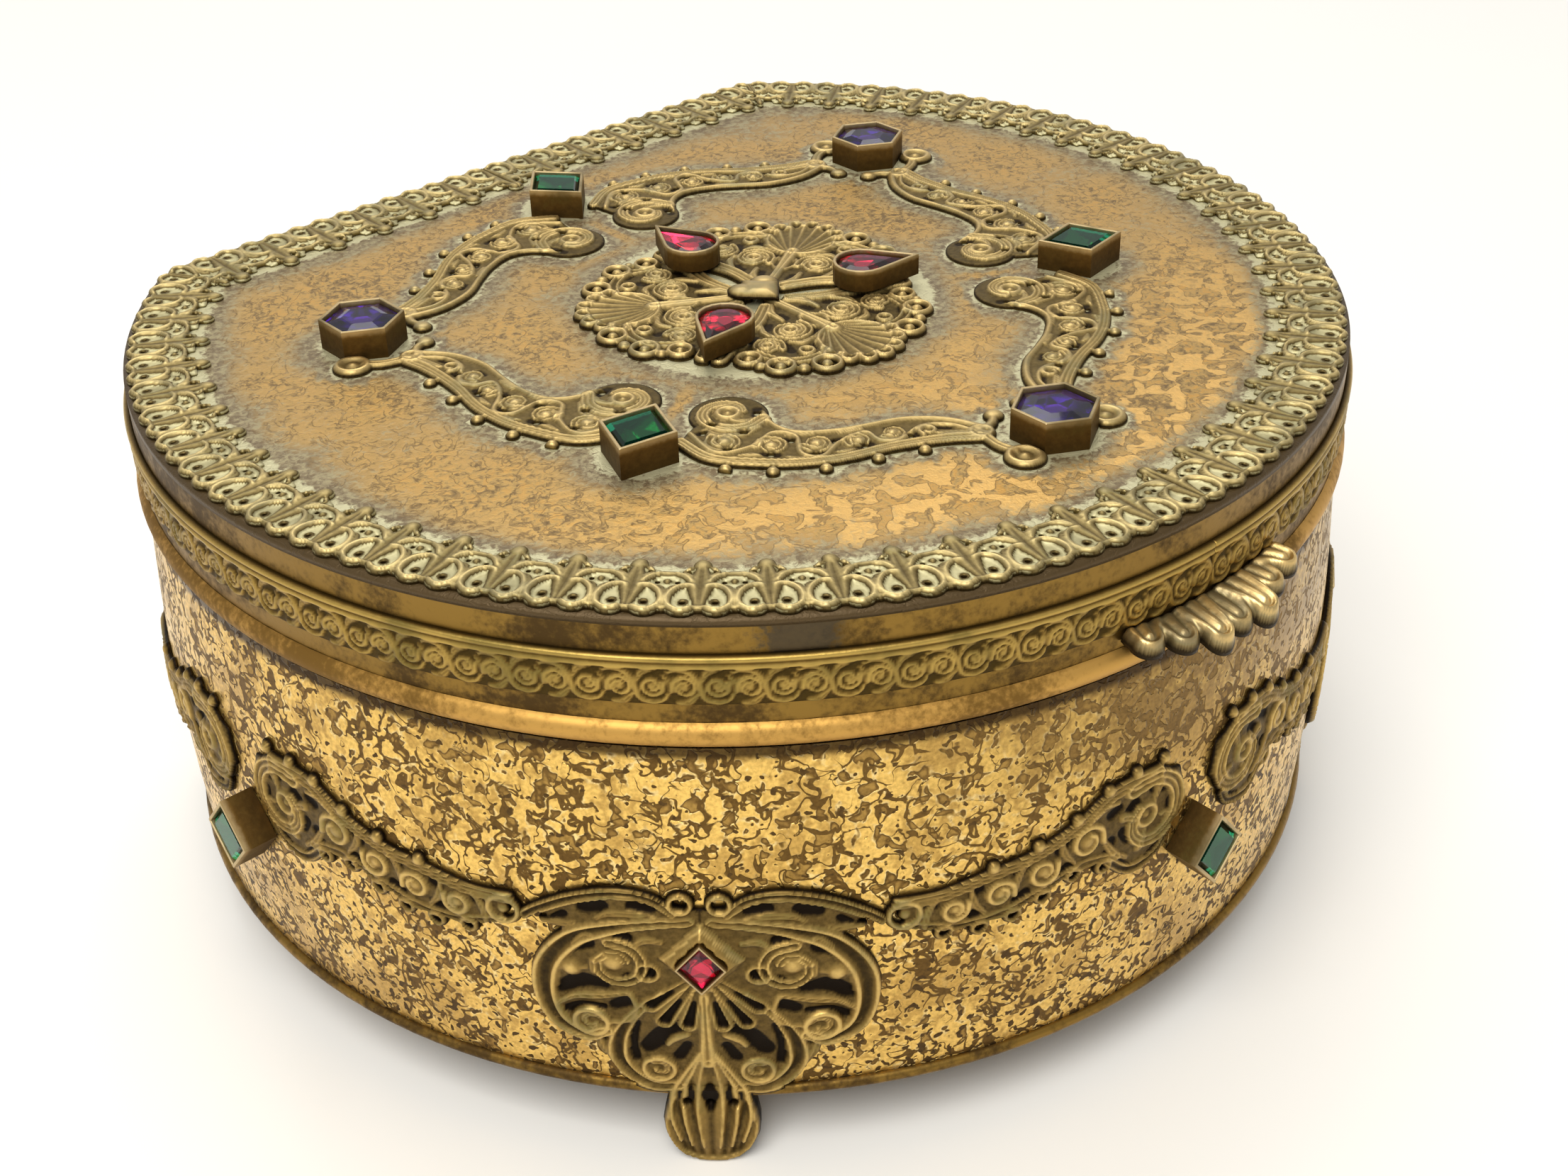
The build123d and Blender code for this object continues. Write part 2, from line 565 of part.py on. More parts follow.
def knuckle_room(first):
    """Room that the other leaf's knuckles need, starting with the first or second."""
    pitch = (HINGE_L + KNUCKLE_GAP) / KNUCKLES
    rooms = []
    for i in range(first, KNUCKLES, 2):
        x = -HINGE_L / 2 + i * pitch - KNUCKLE_GAP
        length = pitch + KNUCKLE_GAP
        room = Cylinder(KNUCKLE_R + KNUCKLE_GAP, length, align=(Align.CENTER, Align.CENTER, Align.MIN))
        rooms.append(Pos(x, HINGE_Y, HINGE_Z) * Rot(0, TURN, 0) * room)
    return rooms


def hinge_half(leaf_profile, own, other):
    """A hinge leaf with its knuckles, bored for the pin."""
    end = Plane(origin=(-HINGE_L / 2, BACK_FLAT, 0), x_dir=(0, 1, 0), z_dir=(1, 0, 0))
    leaf = extrude(end * leaf_profile, HINGE_L)
    bore = Cylinder(PIN_R + PIN_FIT, 2 * HINGE_L)
    bore = Pos(0, HINGE_Y, HINGE_Z) * Rot(0, TURN, 0) * bore
    return leaf - knuckle_room(other) + knuckle_row(own) - bore


def set_stones(outline, reach, height, places):
    """Settings and stones of one kind at several places."""
    cup, stone = jewel(outline, reach, height)
    return [place * cup for place in places], [place * stone for place in places]


parts = {}

# Box body
parts["wall"] = run_round(swollen(-WALL_T, 0, WALL_BOTTOM, WALL_TOP))
parts["base_plate"] = Pos(0, 0, PAD_BOTTOM - BASE_T) * extrude(plan(-WALL_T - SOLDER), BASE_T)
collar_out = -WALL_T - SOLDER
collar = block(collar_out - COLLAR_T, collar_out, WALL_TOP - COLLAR_BELOW, WALL_TOP + COLLAR_ABOVE)
parts["collar"] = run_round(collar)
bead_base = swell(WALL_BOTTOM + BEAD_H) + SOLDER
parts["base_bead"] = run_round(half_round(bead_base, BEAD_OUT, WALL_BOTTOM, BEAD_H))
bead_room = run_round(
    half_round(bead_base, BEAD_OUT + SOLDER, WALL_BOTTOM - SOLDER, BEAD_H + 2 * SOLDER)
    + block(SOLDER / 2, bead_base, WALL_BOTTOM - SOLDER, WALL_BOTTOM + BEAD_H + SOLDER)
)

# Feet
drawing = foot_drawing()
foot_top = drawing.bounding_box().max.Y
stamping = swollen(SOLDER, SOLDER + FOOT_T, TOE_TOP, foot_top)
toe_block = block(-TOE_IN, TOE_OUT, 0, TOE_TOP)
for name, s in (("front", FRONT_FOOT), ("rear", REAR_FOOT)):
    foot = lay_on_wall(drawing, s, stamping) - bead_room + lay_on_wall(drawing, s, toe_block)
    parts["foot_" + name + "_right"] = foot
    parts["foot_" + name + "_left"] = mirror(foot, Plane.YZ)
ruby_offset = WALL_BULGE + SOLDER + FOOT_T
feet_at = (-FRONT_FOOT, FRONT_FOOT, REAR_FOOT, -REAR_FOOT)
places = [wall_place(s, RUBY_H, ruby_offset).location for s in feet_at]
cups, stones = set_stones(lozenge_of(RUBY_A, RUBY_B), lozenge_reach(RUBY_A, RUBY_B), RUBY_DEPTH, places)
parts["foot_settings"] = Compound(cups)
for name, stone in zip(("front_left", "front_right", "rear_right", "rear_left"), stones):
    parts["foot_stone_" + name] = stone

# Swags and stones of the wall
side_length = math.radians(TURN) * WALL_R - FRONT_FOOT - FOOT_HALF
swag_front = swag_drawing(min(side_length, FRONT_FOOT - FOOT_HALF))
swag_top = swag_front.bounding_box().max.Y
swag_low = swag_front.bounding_box().min.Y
swag_profile = swollen(SOLDER, SOLDER + SWAG_T, swag_low, swag_top)
half_swag = lay_on_wall(swag_front, 0, swag_profile)
pair = Compound([half_swag, mirror(half_swag, Plane.YZ)])
parts["swag_front"] = pair
parts["swag_right"] = Rot(0, 0, TURN) * pair
parts["swag_left"] = Rot(0, 0, -TURN) * pair
swag_back = mirror(swag_drawing(HALF_WAY - REAR_FOOT - FOOT_HALF), Plane.YZ)
half_back = lay_on_wall(swag_back, HALF_WAY, swag_profile)
parts["swag_back"] = Compound([half_back, mirror(half_back, Plane.YZ)])
quarter = math.radians(TURN) * WALL_R
drops_at = (0, quarter, -quarter, HALF_WAY)
places = [wall_place(s, DROP_H, WALL_BULGE + SOLDER).location for s in drops_at]
cups, stones = set_stones(lozenge_of(DROP_A, DROP_B), lozenge_reach(DROP_A, DROP_B), DROP_DEPTH, places)
parts["wall_settings"] = Compound(cups)
for name, stone in zip(("front", "right", "left", "back"), stones):
    parts["wall_stone_" + name] = stone

# Lid
parts["lid_plate"] = Pos(0, 0, PLATE_BOTTOM) * extrude(plan(0), PLATE_T)
parts["lid_band"] = run_round(block(-BAND_T, 0, LID_BOTTOM, PLATE_BOTTOM))
hinge_notch = Pos(0, BACK_FLAT, LID_BOTTOM) * Box(HINGE_L + 2 * KNUCKLE_GAP, HINGE_L / 2, 2 * LID_BEAD_H)
parts["lid_bead"] = run_round(half_round(SOLDER, LID_BEAD_OUT, LID_BOTTOM, LID_BEAD_H)) - hinge_notch
frieze_low = LID_BOTTOM + FRIEZE_LIFT
fillet_low = frieze_low + FRIEZE_H
frieze_profile = block(SOLDER, SOLDER + FRIEZE_T, frieze_low, fillet_low + 2 * FILLET_H)
for i in range(2):
    frieze_profile += half_round(SOLDER + FRIEZE_T / 2, FILLET_OUT, fillet_low + i * FILLET_H, FILLET_H)
parts["lid_frieze"] = run_round(frieze_profile)
parts["lid_border"] = Pos(0, 0, PLATE_TOP) * extrude(border_drawing(), BORDER_T)

# Scrollwork and stones of the lid
garland = extrude(garland_drawing(), GARLAND_T)
garlands = Compound([garland, mirror(garland, Plane.YZ)])
fan = extrude(fan_drawing(), FAN_T)
lozenge_angles = {"rear": TURN, "front_right": TURN - THIRD, "front_left": TURN + THIRD}
hexagon_angles = {"front": -TURN, "rear_right": THIRD - TURN, "rear_left": 2 * THIRD - TURN}
for name, angle in lozenge_angles.items():
    parts["garland_" + name] = lid_place(0, angle, PLATE_TOP) * garlands
for name, angle in hexagon_angles.items():
    parts["fan_" + name] = lid_place(0, angle, PLATE_TOP) * fan
fan_top = PLATE_TOP + FAN_T
parts["heart_plate"] = lid_place(0, TURN, fan_top) * extrude(
    joined([disc(HEART_R / 2, HEART_R / 3, HEART_R / 2), disc(-HEART_R / 2, HEART_R / 3, HEART_R / 2),
            lozenge(HEART_R, HEART_R * 0.9)]), HEART_T
)
kinds = (
    ("violet", hexagon, HEX_R * math.cos(math.radians(TURN / 3)), SETTING_TOP,
     STONE_RING, hexagon_angles, PLATE_TOP),
    ("green", lozenge_of(LOZENGE_A, LOZENGE_B), lozenge_reach(LOZENGE_A, LOZENGE_B), SETTING_TOP,
     LOZENGE_RING, lozenge_angles, PLATE_TOP),
    ("red", pear, PEAR_R, SETTING_TOP - FAN_T, PEAR_RING, lozenge_angles, fan_top),
)
for colour, outline, reach, height, distance, angles, base in kinds:
    places = [lid_place(distance, angle, base) for angle in angles.values()]
    cups, stones = set_stones(outline, reach, height, places)
    for name, cup, stone in zip(angles, cups, stones):
        parts[colour + "_setting_" + name] = cup
        parts[colour + "_stone_" + name] = stone

# Thumb piece
leaf = extrude(thumb_drawing(), THUMB_T)
leaf = Pos(0, -WALL_R, LID_BOTTOM + THUMB_LIFT) * Rot(THUMB_DROOP, 0, 0) * leaf
lid_core = Pos(0, 0, LID_BOTTOM) * extrude(plan(SOLDER), LID_H)
parts["thumb_piece"] = leaf - lid_core

# Hinge
box_leaf = swollen(SOLDER, SOLDER + LEAF_T, WALL_TOP - BOX_LEAF_H, WALL_TOP)
parts["box_hinge_leaf"] = hinge_half(box_leaf, 0, 1)
lid_leaf = block(SOLDER, SOLDER + LEAF_T, LID_BOTTOM, LID_BOTTOM + LID_LEAF_H)
parts["lid_hinge_leaf"] = hinge_half(lid_leaf, 1, 0)
parts["hinge_pin"] = Pos(0, HINGE_Y, HINGE_Z) * Rot(0, TURN, 0) * Cylinder(PIN_R, HINGE_L)

# Lining
lining_out = -WALL_T - LINING_GAP
lining_top = WALL_TOP - COLLAR_BELOW - LINING_GAP
parts["wall_lining"] = run_round(swollen(lining_out - LINING_T, lining_out, PAD_BOTTOM, lining_top))
pad = extrude(plan(lining_out - LINING_T - LINING_GAP), PAD_T)
pad = fillet(pad.edges().group_by(Axis.Z)[-1], PAD_ROUND)
parts["base_pad"] = Pos(0, 0, PAD_BOTTOM) * pad
lid_pad = extrude(plan(-BAND_T - LINING_GAP), LID_PAD_T)
lid_pad = fillet(lid_pad.edges().group_by(Axis.Z)[0], PAD_ROUND)
parts["lid_pad"] = Pos(0, 0, PLATE_BOTTOM - LID_PAD_T) * lid_pad

# The origin goes under the middle of the whole box
low_y = min(shape.bounding_box().min.Y for shape in parts.values())
high_y = max(shape.bounding_box().max.Y for shape in parts.values())
shift = -(low_y + high_y) / 2
for name, shape in parts.items():
    export_step(Pos(0, shift, 0) * shape, "parts/" + name + ".step")
print("shift", round(shift, 3), "hinge axis y", round(HINGE_Y + shift, 3), "z", round(HINGE_Z, 3))
print("nodes", len(parts))
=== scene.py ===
import json
import math
from functools import partial
import bmesh
import bpy
import numpy as np
from mathutils import Matrix, Vector

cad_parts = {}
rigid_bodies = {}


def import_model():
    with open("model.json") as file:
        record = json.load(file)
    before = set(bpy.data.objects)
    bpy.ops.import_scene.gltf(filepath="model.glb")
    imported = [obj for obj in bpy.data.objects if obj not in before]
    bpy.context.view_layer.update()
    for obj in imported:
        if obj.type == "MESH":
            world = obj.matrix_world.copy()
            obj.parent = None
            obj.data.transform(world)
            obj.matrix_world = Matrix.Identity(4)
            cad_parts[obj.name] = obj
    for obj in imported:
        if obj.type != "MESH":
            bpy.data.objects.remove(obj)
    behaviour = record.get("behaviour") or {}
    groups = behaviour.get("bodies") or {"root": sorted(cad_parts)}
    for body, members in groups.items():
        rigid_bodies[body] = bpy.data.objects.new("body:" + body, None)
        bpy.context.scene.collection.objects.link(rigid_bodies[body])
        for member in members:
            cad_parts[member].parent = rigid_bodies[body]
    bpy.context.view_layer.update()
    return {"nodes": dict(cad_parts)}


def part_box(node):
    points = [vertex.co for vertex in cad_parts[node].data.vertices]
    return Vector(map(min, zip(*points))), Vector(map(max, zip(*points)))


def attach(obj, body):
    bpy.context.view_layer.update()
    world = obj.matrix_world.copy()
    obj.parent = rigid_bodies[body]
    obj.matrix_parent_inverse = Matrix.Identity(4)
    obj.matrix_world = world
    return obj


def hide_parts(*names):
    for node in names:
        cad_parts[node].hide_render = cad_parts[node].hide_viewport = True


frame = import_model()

print("frame loaded:", len(frame["nodes"]), "nodes")

# Drawings are in millimetres; the scene is in metres.
mm = 0.001
third = 2 * math.pi / 3


def low(node):
    return [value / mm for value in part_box(node)[0]]


def high(node):
    return [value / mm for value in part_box(node)[1]]


# The outline of the box, a circle with a flat back, and its heights
outline = {
    "wallR": 82.0,
    "backFlat": 61.4,
    "cornerR": 7.0,
    "ornamentBack": 4.7,       # the lid's ornament is laid out this far in front of the circle's centre
    "bulge": 1.2,              # swell of the wall at half height
    "solder": 0.05,
    "centreY": low("lid_plate")[1] + 82.0,
    "wallLow": low("wall")[2],
    "wallTop": high("wall")[2],
    "lidLow": low("lid_band")[2],
    "plateTop": high("lid_plate")[2],
}
cornerY = outline["backFlat"] - outline["cornerR"]
cornerX = math.sqrt((outline["wallR"] - outline["cornerR"]) ** 2 - cornerY ** 2)
cornerAt = math.atan2(cornerY, cornerX)
roundEnd = (math.pi / 2 + cornerAt) * outline["wallR"]
cornerEnd = roundEnd + (math.pi / 2 - cornerAt) * outline["cornerR"]
halfWay = cornerEnd + cornerX
ornamentY = outline["centreY"] - outline["ornamentBack"]


def wrapped(s, length):
    # the same place in the repeat that is centred on 0
    return (s + length / 2) % length - length / 2


def station(s, offset=0.0):
    # point and outward direction at length s along the outline, counted from the front
    s = wrapped(np.asarray(s, float), 2 * halfWay)
    run = np.abs(s)
    onRound = run / outline["wallR"] - math.pi / 2
    onCorner = cornerAt + (run - roundEnd) / outline["cornerR"]
    angle = np.where(run <= roundEnd, onRound, np.where(run <= cornerEnd, onCorner, math.pi / 2))
    nx, ny = np.cos(angle), np.sin(angle)
    x = np.where(run <= roundEnd, outline["wallR"] * nx, np.where(run <= cornerEnd,
                 cornerX + outline["cornerR"] * nx, halfWay - run))
    y = np.where(run <= roundEnd, outline["wallR"] * ny, np.where(run <= cornerEnd,
                 cornerY + outline["cornerR"] * ny, outline["backFlat"]))
    side = np.where(s < 0, -1.0, 1.0)
    return side * (x + offset * nx), y + offset * ny + outline["centreY"], side * nx, ny


def swell(z):
    half = (outline["wallTop"] - outline["wallLow"]) / 2
    radius = (half ** 2 + outline["bulge"] ** 2) / (2 * outline["bulge"])
    off = np.clip(np.asarray(z, float) - outline["wallLow"] - half, -half, half)
    return np.sqrt(radius ** 2 - off ** 2) - radius + outline["bulge"]


def planGap(at, offset=0.0):
    # signed distance to the outline seen from above, less than zero inside
    x, y = np.abs(at[:, 0]), at[:, 1] - outline["centreY"]
    gap = np.maximum(np.hypot(x, y) - outline["wallR"], y - outline["backFlat"])
    bend = np.arctan2(y - cornerY, x - cornerX)
    inCorner = (bend > cornerAt) & (bend < math.pi / 2)
    return np.where(inCorner, np.hypot(x - cornerX, y - cornerY) - outline["cornerR"], gap) - offset


def atStation(s, depth, height):
    # points that stand out from the outline by a depth, at length s along it
    x, y, nx, ny = station(s)
    return np.stack([x + nx * depth, y + ny * depth, height], 1)


def turned(at, angle):
    return (at[:, 0] * math.cos(angle) - at[:, 1] * math.sin(angle),
            at[:, 0] * math.sin(angle) + at[:, 1] * math.cos(angle))


def ontoWall(co, s0):
    # a drawing's x runs along the outline from s0, y is the height, z stands out from the wall
    return atStation(co[:, 0] + s0, co[:, 2] + swell(co[:, 1]) + outline["solder"], co[:, 1])


def ontoLid(co, angle, lift=0.0):
    # a drawing's y runs away from the middle of the lid's ornament at an angle
    x, y = turned(co, angle - math.pi / 2)
    return np.stack([x, y + ornamentY, co[:, 2] + outline["plateTop"] + lift], 1)


def wallSeat(s0, height, offset):
    # a flat seat on the wall that faces out, its y upwards
    x, y, nx, ny = (float(v) for v in station(s0, offset))
    return Matrix(((-ny, 0, nx, x), (nx, 0, ny, y), (0, 1, 0, height), (0, 0, 0, 1)))


def lidSeat(radius, angle, height):
    return (Matrix.Translation((0, ornamentY, height)) @ Matrix.Rotation(angle - math.pi / 2, 4, "Z")
            @ Matrix.Translation((0, radius, 0)))


# Materials
def colour(hexValue):
    parts = [int(hexValue[i:i + 2], 16) / 255 for i in (1, 3, 5)]
    return [p / 12.92 if p <= 0.04045 else ((p + 0.055) / 1.055) ** 2.4 for p in parts] + [1.0]


def perMm(size):
    # texture scale for a feature of this many millimetres
    return 1 / (size * mm)


soft = {"interpolation_type": "SMOOTHSTEP"}
tinted = {"data_type": "RGBA", "out": 2}


def addNode(tree, kind, inputs=(), out=0, stops=(), **settings):
    # adds a node of this kind, or takes the one given, and returns one of its outputs
    # inputs go by name or number, or as a list in the node's own order; a hex string is a colour
    node = tree.nodes.new("ShaderNode" + kind) if isinstance(kind, str) else kind
    for key, value in settings.items():
        setattr(node, key, value)
    if stops:
        ramp = node.color_ramp.elements
        while len(ramp) < len(stops):
            ramp.new(1.0)
        for stop, (place, tint) in zip(ramp, stops):
            stop.position = place
            stop.color = colour(tint)
    for key, value in inputs.items() if isinstance(inputs, dict) else enumerate(inputs):
        if isinstance(value, bpy.types.NodeSocket):
            tree.links.new(value, node.inputs[key])
        else:
            node.inputs[key].default_value = colour(value) if isinstance(value, str) else value
    return node.outputs[out] if node.outputs else node


def newMaterial(name):
    material = bpy.data.materials.new(name)
    material.use_nodes = True
    tree = material.node_tree
    return material, partial(addNode, tree), tree.nodes["Principled BSDF"]


# colours at the recess edge are painted: deep, line and slope paint shade down its side, and the lip colour
# is a painted highlight on its rim; line is also the real dark of the worm lines
# textures are rows of feature size in mm, detail, roughness and distortion
wallLook = {
    "flat": "#F0C66C", "lipHighlight": "#F8DA94", "rubbed": "#C29A50", "slope": "#9A7838", "floor": "#B08C48",
    # the stain colour is the brown of painted shade under the lid, and the last, near black colour paints
    # the shadow line under the lid's bead
    "deep": "#8A6A36", "line": "#6E5226", "pit": "#574122", "stain": "#856838", "beadShadow": "#3C2A12",
    "recess": (1.8, 1.4, 0.45, 0.35), "worm": (2.5, 1.6, 0.5, 0.5), "breaks": (5.0, 1.0, 0.5, 0.0),
    "dots": (0.95, 0.6, 0.5, 0.0), "patch": (11.0, 4.0, 0.62, 0.0), "grit": (0.45, 2.0, 0.5, 0.0),
    "depth": 0.15, "shadeCentre": (0.01, -0.082, 0.055), "seamAt": low("lid_bead")[2] * mm,
}


def etchedWall(look):
    # brass sheet, etched with acid and fire gilt: bright flats, dark worm lines, brown recesses and pits
    material, add, shader = newMaterial("etchedFireGiltBrass")
    place = add("TexCoord", out=3)
    height = add("SeparateXYZ", [place], out=2)
    blot, worm, broken, dots, patch, grit = (
        add("TexNoise", {"Vector": place, "Scale": perMm(size), "Detail": detail, "Roughness": rough,
                         "Distortion": twist}) for size, detail, rough, twist in (
            look[key] for key in ("recess", "worm", "breaks", "dots", "patch", "grit")))
    # recesses are fewer low down; across each recess edge the colour runs from the brown floor through
    # painted shade to a painted highlight on the lip, then the flats
    lift = add("MapRange", [height, 0.014, 0.04, 0.03, 0.0])
    depthMap = add("Math", [blot, lift], operation="ADD")
    tone = add("ValToRGB", [depthMap], stops=[(0.3, look["floor"]), (0.355, look["deep"]),
                                              (0.385, look["line"]), (0.405, look["slope"]),
                                              (0.432, look["lipHighlight"]), (0.475, look["flat"])])
    sunk = add("MapRange", [depthMap, 0.435, 0.38], **soft)
    # rubbed, browner gold in patches
    mixed = add("Math", [dots, 0.4, patch], operation="MULTIPLY_ADD")
    rubbed = add("MapRange", [mixed, 0.69, 0.8, 0, 0.8], **soft)
    ground = add("Mix", {0: rubbed, 6: tone, 7: look["rubbed"]}, blend_type="DARKEN", **tinted)
    away = add("Math", [add("Math", [worm, 0.5], operation="SUBTRACT")], operation="ABSOLUTE")
    reach = add("MapRange", [broken, 0.34, 0.56, -0.012, 0.046])
    drawn = add("MapRange", [add("Math", [reach, away], operation="SUBTRACT"), -0.008, 0.012], **soft)
    # small round pits, closer together low down
    lowDown = add("MapRange", [height, 0.012, 0.045, 0.39, 0.32])
    pitted = add("MapRange", [add("Math", [lowDown, dots], operation="SUBTRACT"), -0.01, 0.03], **soft)
    lined = add("Mix", {0: drawn, 6: ground, 7: look["line"]}, **tinted)
    skin = add("Mix", {0: pitted, 6: lined, 7: look["pit"]}, **tinted)
    # painted shade under the lid's overhang, deepest beside the thumb piece, brown and broken up in patches
    under = add("MapRange", [height, 0.038, 0.06], **soft)
    beside = add("VectorMath", [place, look["shadeCentre"]], operation="DISTANCE", out=1)
    near = add("MapRange", [beside, 0.065, 0.02, 0.12, 0.95], **soft)
    uneven = add("MapRange", [mixed, 0.55, 0.75, 0.45])
    brown = add("Math", [uneven, add("Math", [under, near], operation="MULTIPLY")], operation="MULTIPLY",
                use_clamp=True)
    shade = add("Mix", {0: brown, 6: skin, 7: look["stain"]}, **tinted)
    # painted shadow: a near black line just under the lid's bead
    underBeadShade = add("MapRange", [height, look["seamAt"] - 0.0024, look["seamAt"] - 0.0011, 0, 0.94], **soft)
    shade = add("Mix", {0: underBeadShade, 6: shade, 7: look["beadShadow"]}, **tinted)
    grain = add("ValToRGB", [grit], stops=[(0.3, "#B4B0A8"), (0.62, "#FFFFFF")])
    shade = add("Mix", {0: 0.55, 6: shade, 7: grain}, blend_type="MULTIPLY", **tinted)
    etched = add("Math", [sunk, add("Math", [drawn, pitted], operation="MAXIMUM")], operation="MAXIMUM")
    rough = add("MapRange", [etched, 0, 1, 0.3, 0.52])
    bulk = add("Math", [grit, 0.2, etched], operation="MULTIPLY_ADD")
    bump = add("Bump", {"Strength": 1.0, "Distance": look["depth"] * mm, "Height": bulk}, invert=True)
    add(shader, {"Base Color": shade, "Metallic": 0.9, "Roughness": rough, "Normal": bump})
    return material


lidLook = {
    "gold": "#B4945A", "orange": "#C6984E", "bright": "#E6BA6E", "brown": "#7C6440", "grey": "#84775A",
    "cream": "#C2BB94", "dusk": "#6E5E44", "ash": "#9A8F6C", "shadeBelow": "#4E3C1E", "depth": 0.09,
    "speck": (0.9, 4.0, 0.6, 0.5), "worm": (3.2, 3.0, 0.5, 0.9), "patch": (22.0, 4.0, 0.62, 0.0),
    "grit": (0.4, 2.0, 0.5, 0.0),
}


def tarnishedPlate(look):
    # the same sheet on the lid, tarnished: tan gold between grey stains, pale deposits at the ornament
    material, add, shader = newMaterial("tarnishedEtchedBrass")
    place = add("TexCoord", out=3)
    halo = add("Attribute", attribute_name="halo", out=2)
    front = add("Attribute", attribute_name="front", out=2)
    speck, worm, patch, grit = (
        add("TexNoise", {"Vector": place, "Scale": perMm(size), "Detail": detail, "Roughness": rough,
                         "Distortion": twist}) for size, detail, rough, twist in (
            look[key] for key in ("speck", "worm", "patch", "grit")))
    mixed = add("Math", [patch, 0.5, speck], operation="MULTIPLY_ADD")
    ground = add("ValToRGB", [mixed], stops=[(0.58, look["brown"]), (0.72, look["gold"]),
                                             (0.88, look["orange"])])
    # towards the front the etching is less worn: bright flats, lined with brown
    flats = add("MapRange", [worm, 0.46, 0.54, 0, 0.8], **soft)
    lit = add("Mix", {0: add("Math", [flats, front], operation="MULTIPLY", use_clamp=True), 6: ground,
                      7: look["bright"]}, **tinted)
    away = add("Math", [add("Math", [worm, 0.48], operation="SUBTRACT")], operation="ABSOLUTE")
    line = add("MapRange", [away, 0.03, 0.008, 0, 0.6], **soft)
    lined = add("Mix", {0: line, 6: lit, 7: look["brown"]}, **tinted)
    far = add("Math", [patch, 1.3, halo], operation="MULTIPLY_ADD")
    ragged = add("Math", [speck, 0.9, far], operation="MULTIPLY_ADD")
    clean = add("Math", [front, -0.16, ragged], operation="MULTIPLY_ADD")
    greyed = add("MapRange", [clean, 1.1, 1.56, 0, 0.94], **soft)
    stain = add("ValToRGB", [speck], stops=[(0.4, look["dusk"]), (0.5, look["grey"]), (0.6, look["ash"])])
    grey = add("Mix", {0: greyed, 6: lined, 7: stain}, **tinted)
    near = add("Math", [speck, 0.9, halo], operation="MULTIPLY_ADD")
    crust = add("MapRange", [near, 1.12, 1.36], **soft)
    pale = add("Mix", {0: crust, 6: grey, 7: look["cream"]}, **tinted)
    # painted shade on the plate where the border and garlands cover it, seen through their holes
    shadeUnderOrnament = add("MapRange", [front, -0.2, -0.8])
    shade = add("Mix", {0: shadeUnderOrnament, 6: pale, 7: look["shadeBelow"]}, **tinted)
    metal = add("MapRange", [greyed, 0, 1, 0.88, 0.55])
    bulk = add("Math", [grit, 0.4, add("Math", [line, -0.5, speck], operation="MULTIPLY_ADD")],
               operation="MULTIPLY_ADD")
    bump = add("Bump", {"Strength": 0.9, "Distance": look["depth"] * mm, "Height": bulk})
    add(shader, {"Base Color": shade, "Metallic": metal, "Roughness": 0.46, "Normal": bump})
    return material


def castGilt(name, tones, patina, roughness=0.38):
    # stamped and gilt ornament: rubbed gold on the ridges; a brown waxed film and painted shade darken the
    # hollows, nearly black as painted shade in sunk openings; pale polish fills the border's hollows
    material, add, shader = newMaterial(name)
    place = add("TexCoord", out=3)
    wearAndShade = add("Attribute", attribute_name="wearAndShade", out=2)
    speck = add("TexNoise", {"Vector": place, "Scale": perMm(0.8), "Detail": 3.0, "Roughness": 0.6})
    patch = add("TexNoise", {"Vector": place, "Scale": perMm(9.0), "Detail": 3.0, "Roughness": 0.6})
    uneven = add("Math", [speck, 0.3, -0.15], operation="MULTIPLY_ADD")
    level = add("Math", [wearAndShade, uneven], operation="ADD")
    # the relief's height picks the colour, so low places take painted shade as well as real dirt
    tone = add("ValToRGB", [level], stops=tones)
    dull = add("MapRange", [patch, 0.46, 0.68, 0, 0.65], **soft)
    aged = add("Mix", {0: dull, 6: tone, 7: patina}, **tinted)
    keep = add("Mix", {0: 1.0, 6: tone, 7: aged}, blend_type="DARKEN", **tinted)
    metal = add("MapRange", [level, 0, 1, 0.92, 0.95])
    rough = add("MapRange", [level, 0, 1, 0.6, roughness])
    bump = add("Bump", {"Strength": 0.7, "Distance": 0.05 * mm, "Height": speck})
    add(shader, {"Base Color": keep, "Metallic": metal, "Roughness": rough, "Normal": bump})
    return material


def rolledGilt(name, gold, stain, size, roughness, scorch=None):
    # rolled and burnished sheet: long even highlights broken by brown stains
    material, add, shader = newMaterial(name)
    place = add("TexCoord", out=3)
    patch = add("TexNoise", {"Vector": place, "Scale": perMm(size), "Detail": 4.0, "Roughness": 0.62,
                             "Distortion": 0.3})
    speck = add("TexNoise", {"Vector": place, "Scale": perMm(0.8), "Detail": 3.0, "Roughness": 0.6})
    mixed = add("Math", [speck, 0.35, patch], operation="MULTIPLY_ADD")
    dirty = add("MapRange", [mixed, 0.58, 0.82], **soft)
    tone = add("Mix", {0: dirty, 6: gold, 7: stain}, **tinted)
    if scorch:
        # one dark grey mark where the gilding has gone
        away = add("VectorMath", [place, scorch["at"]], operation="DISTANCE", out=1)
        ragged = add("Math", [mixed, 0.016, away], operation="MULTIPLY_ADD")
        marked = add("MapRange", [ragged, scorch["size"] + 0.0022, scorch["size"], 0, 0.85], **soft)
        tone = add("Mix", {0: marked, 6: tone, 7: scorch["tint"]}, **tinted)
    rough = add("MapRange", [dirty, 0, 1, roughness, roughness + 0.2])
    bump = add("Bump", {"Strength": 0.5, "Distance": 0.04 * mm, "Height": speck})
    add(shader, {"Base Color": tone, "Metallic": 0.95, "Roughness": rough, "Normal": bump})
    return material


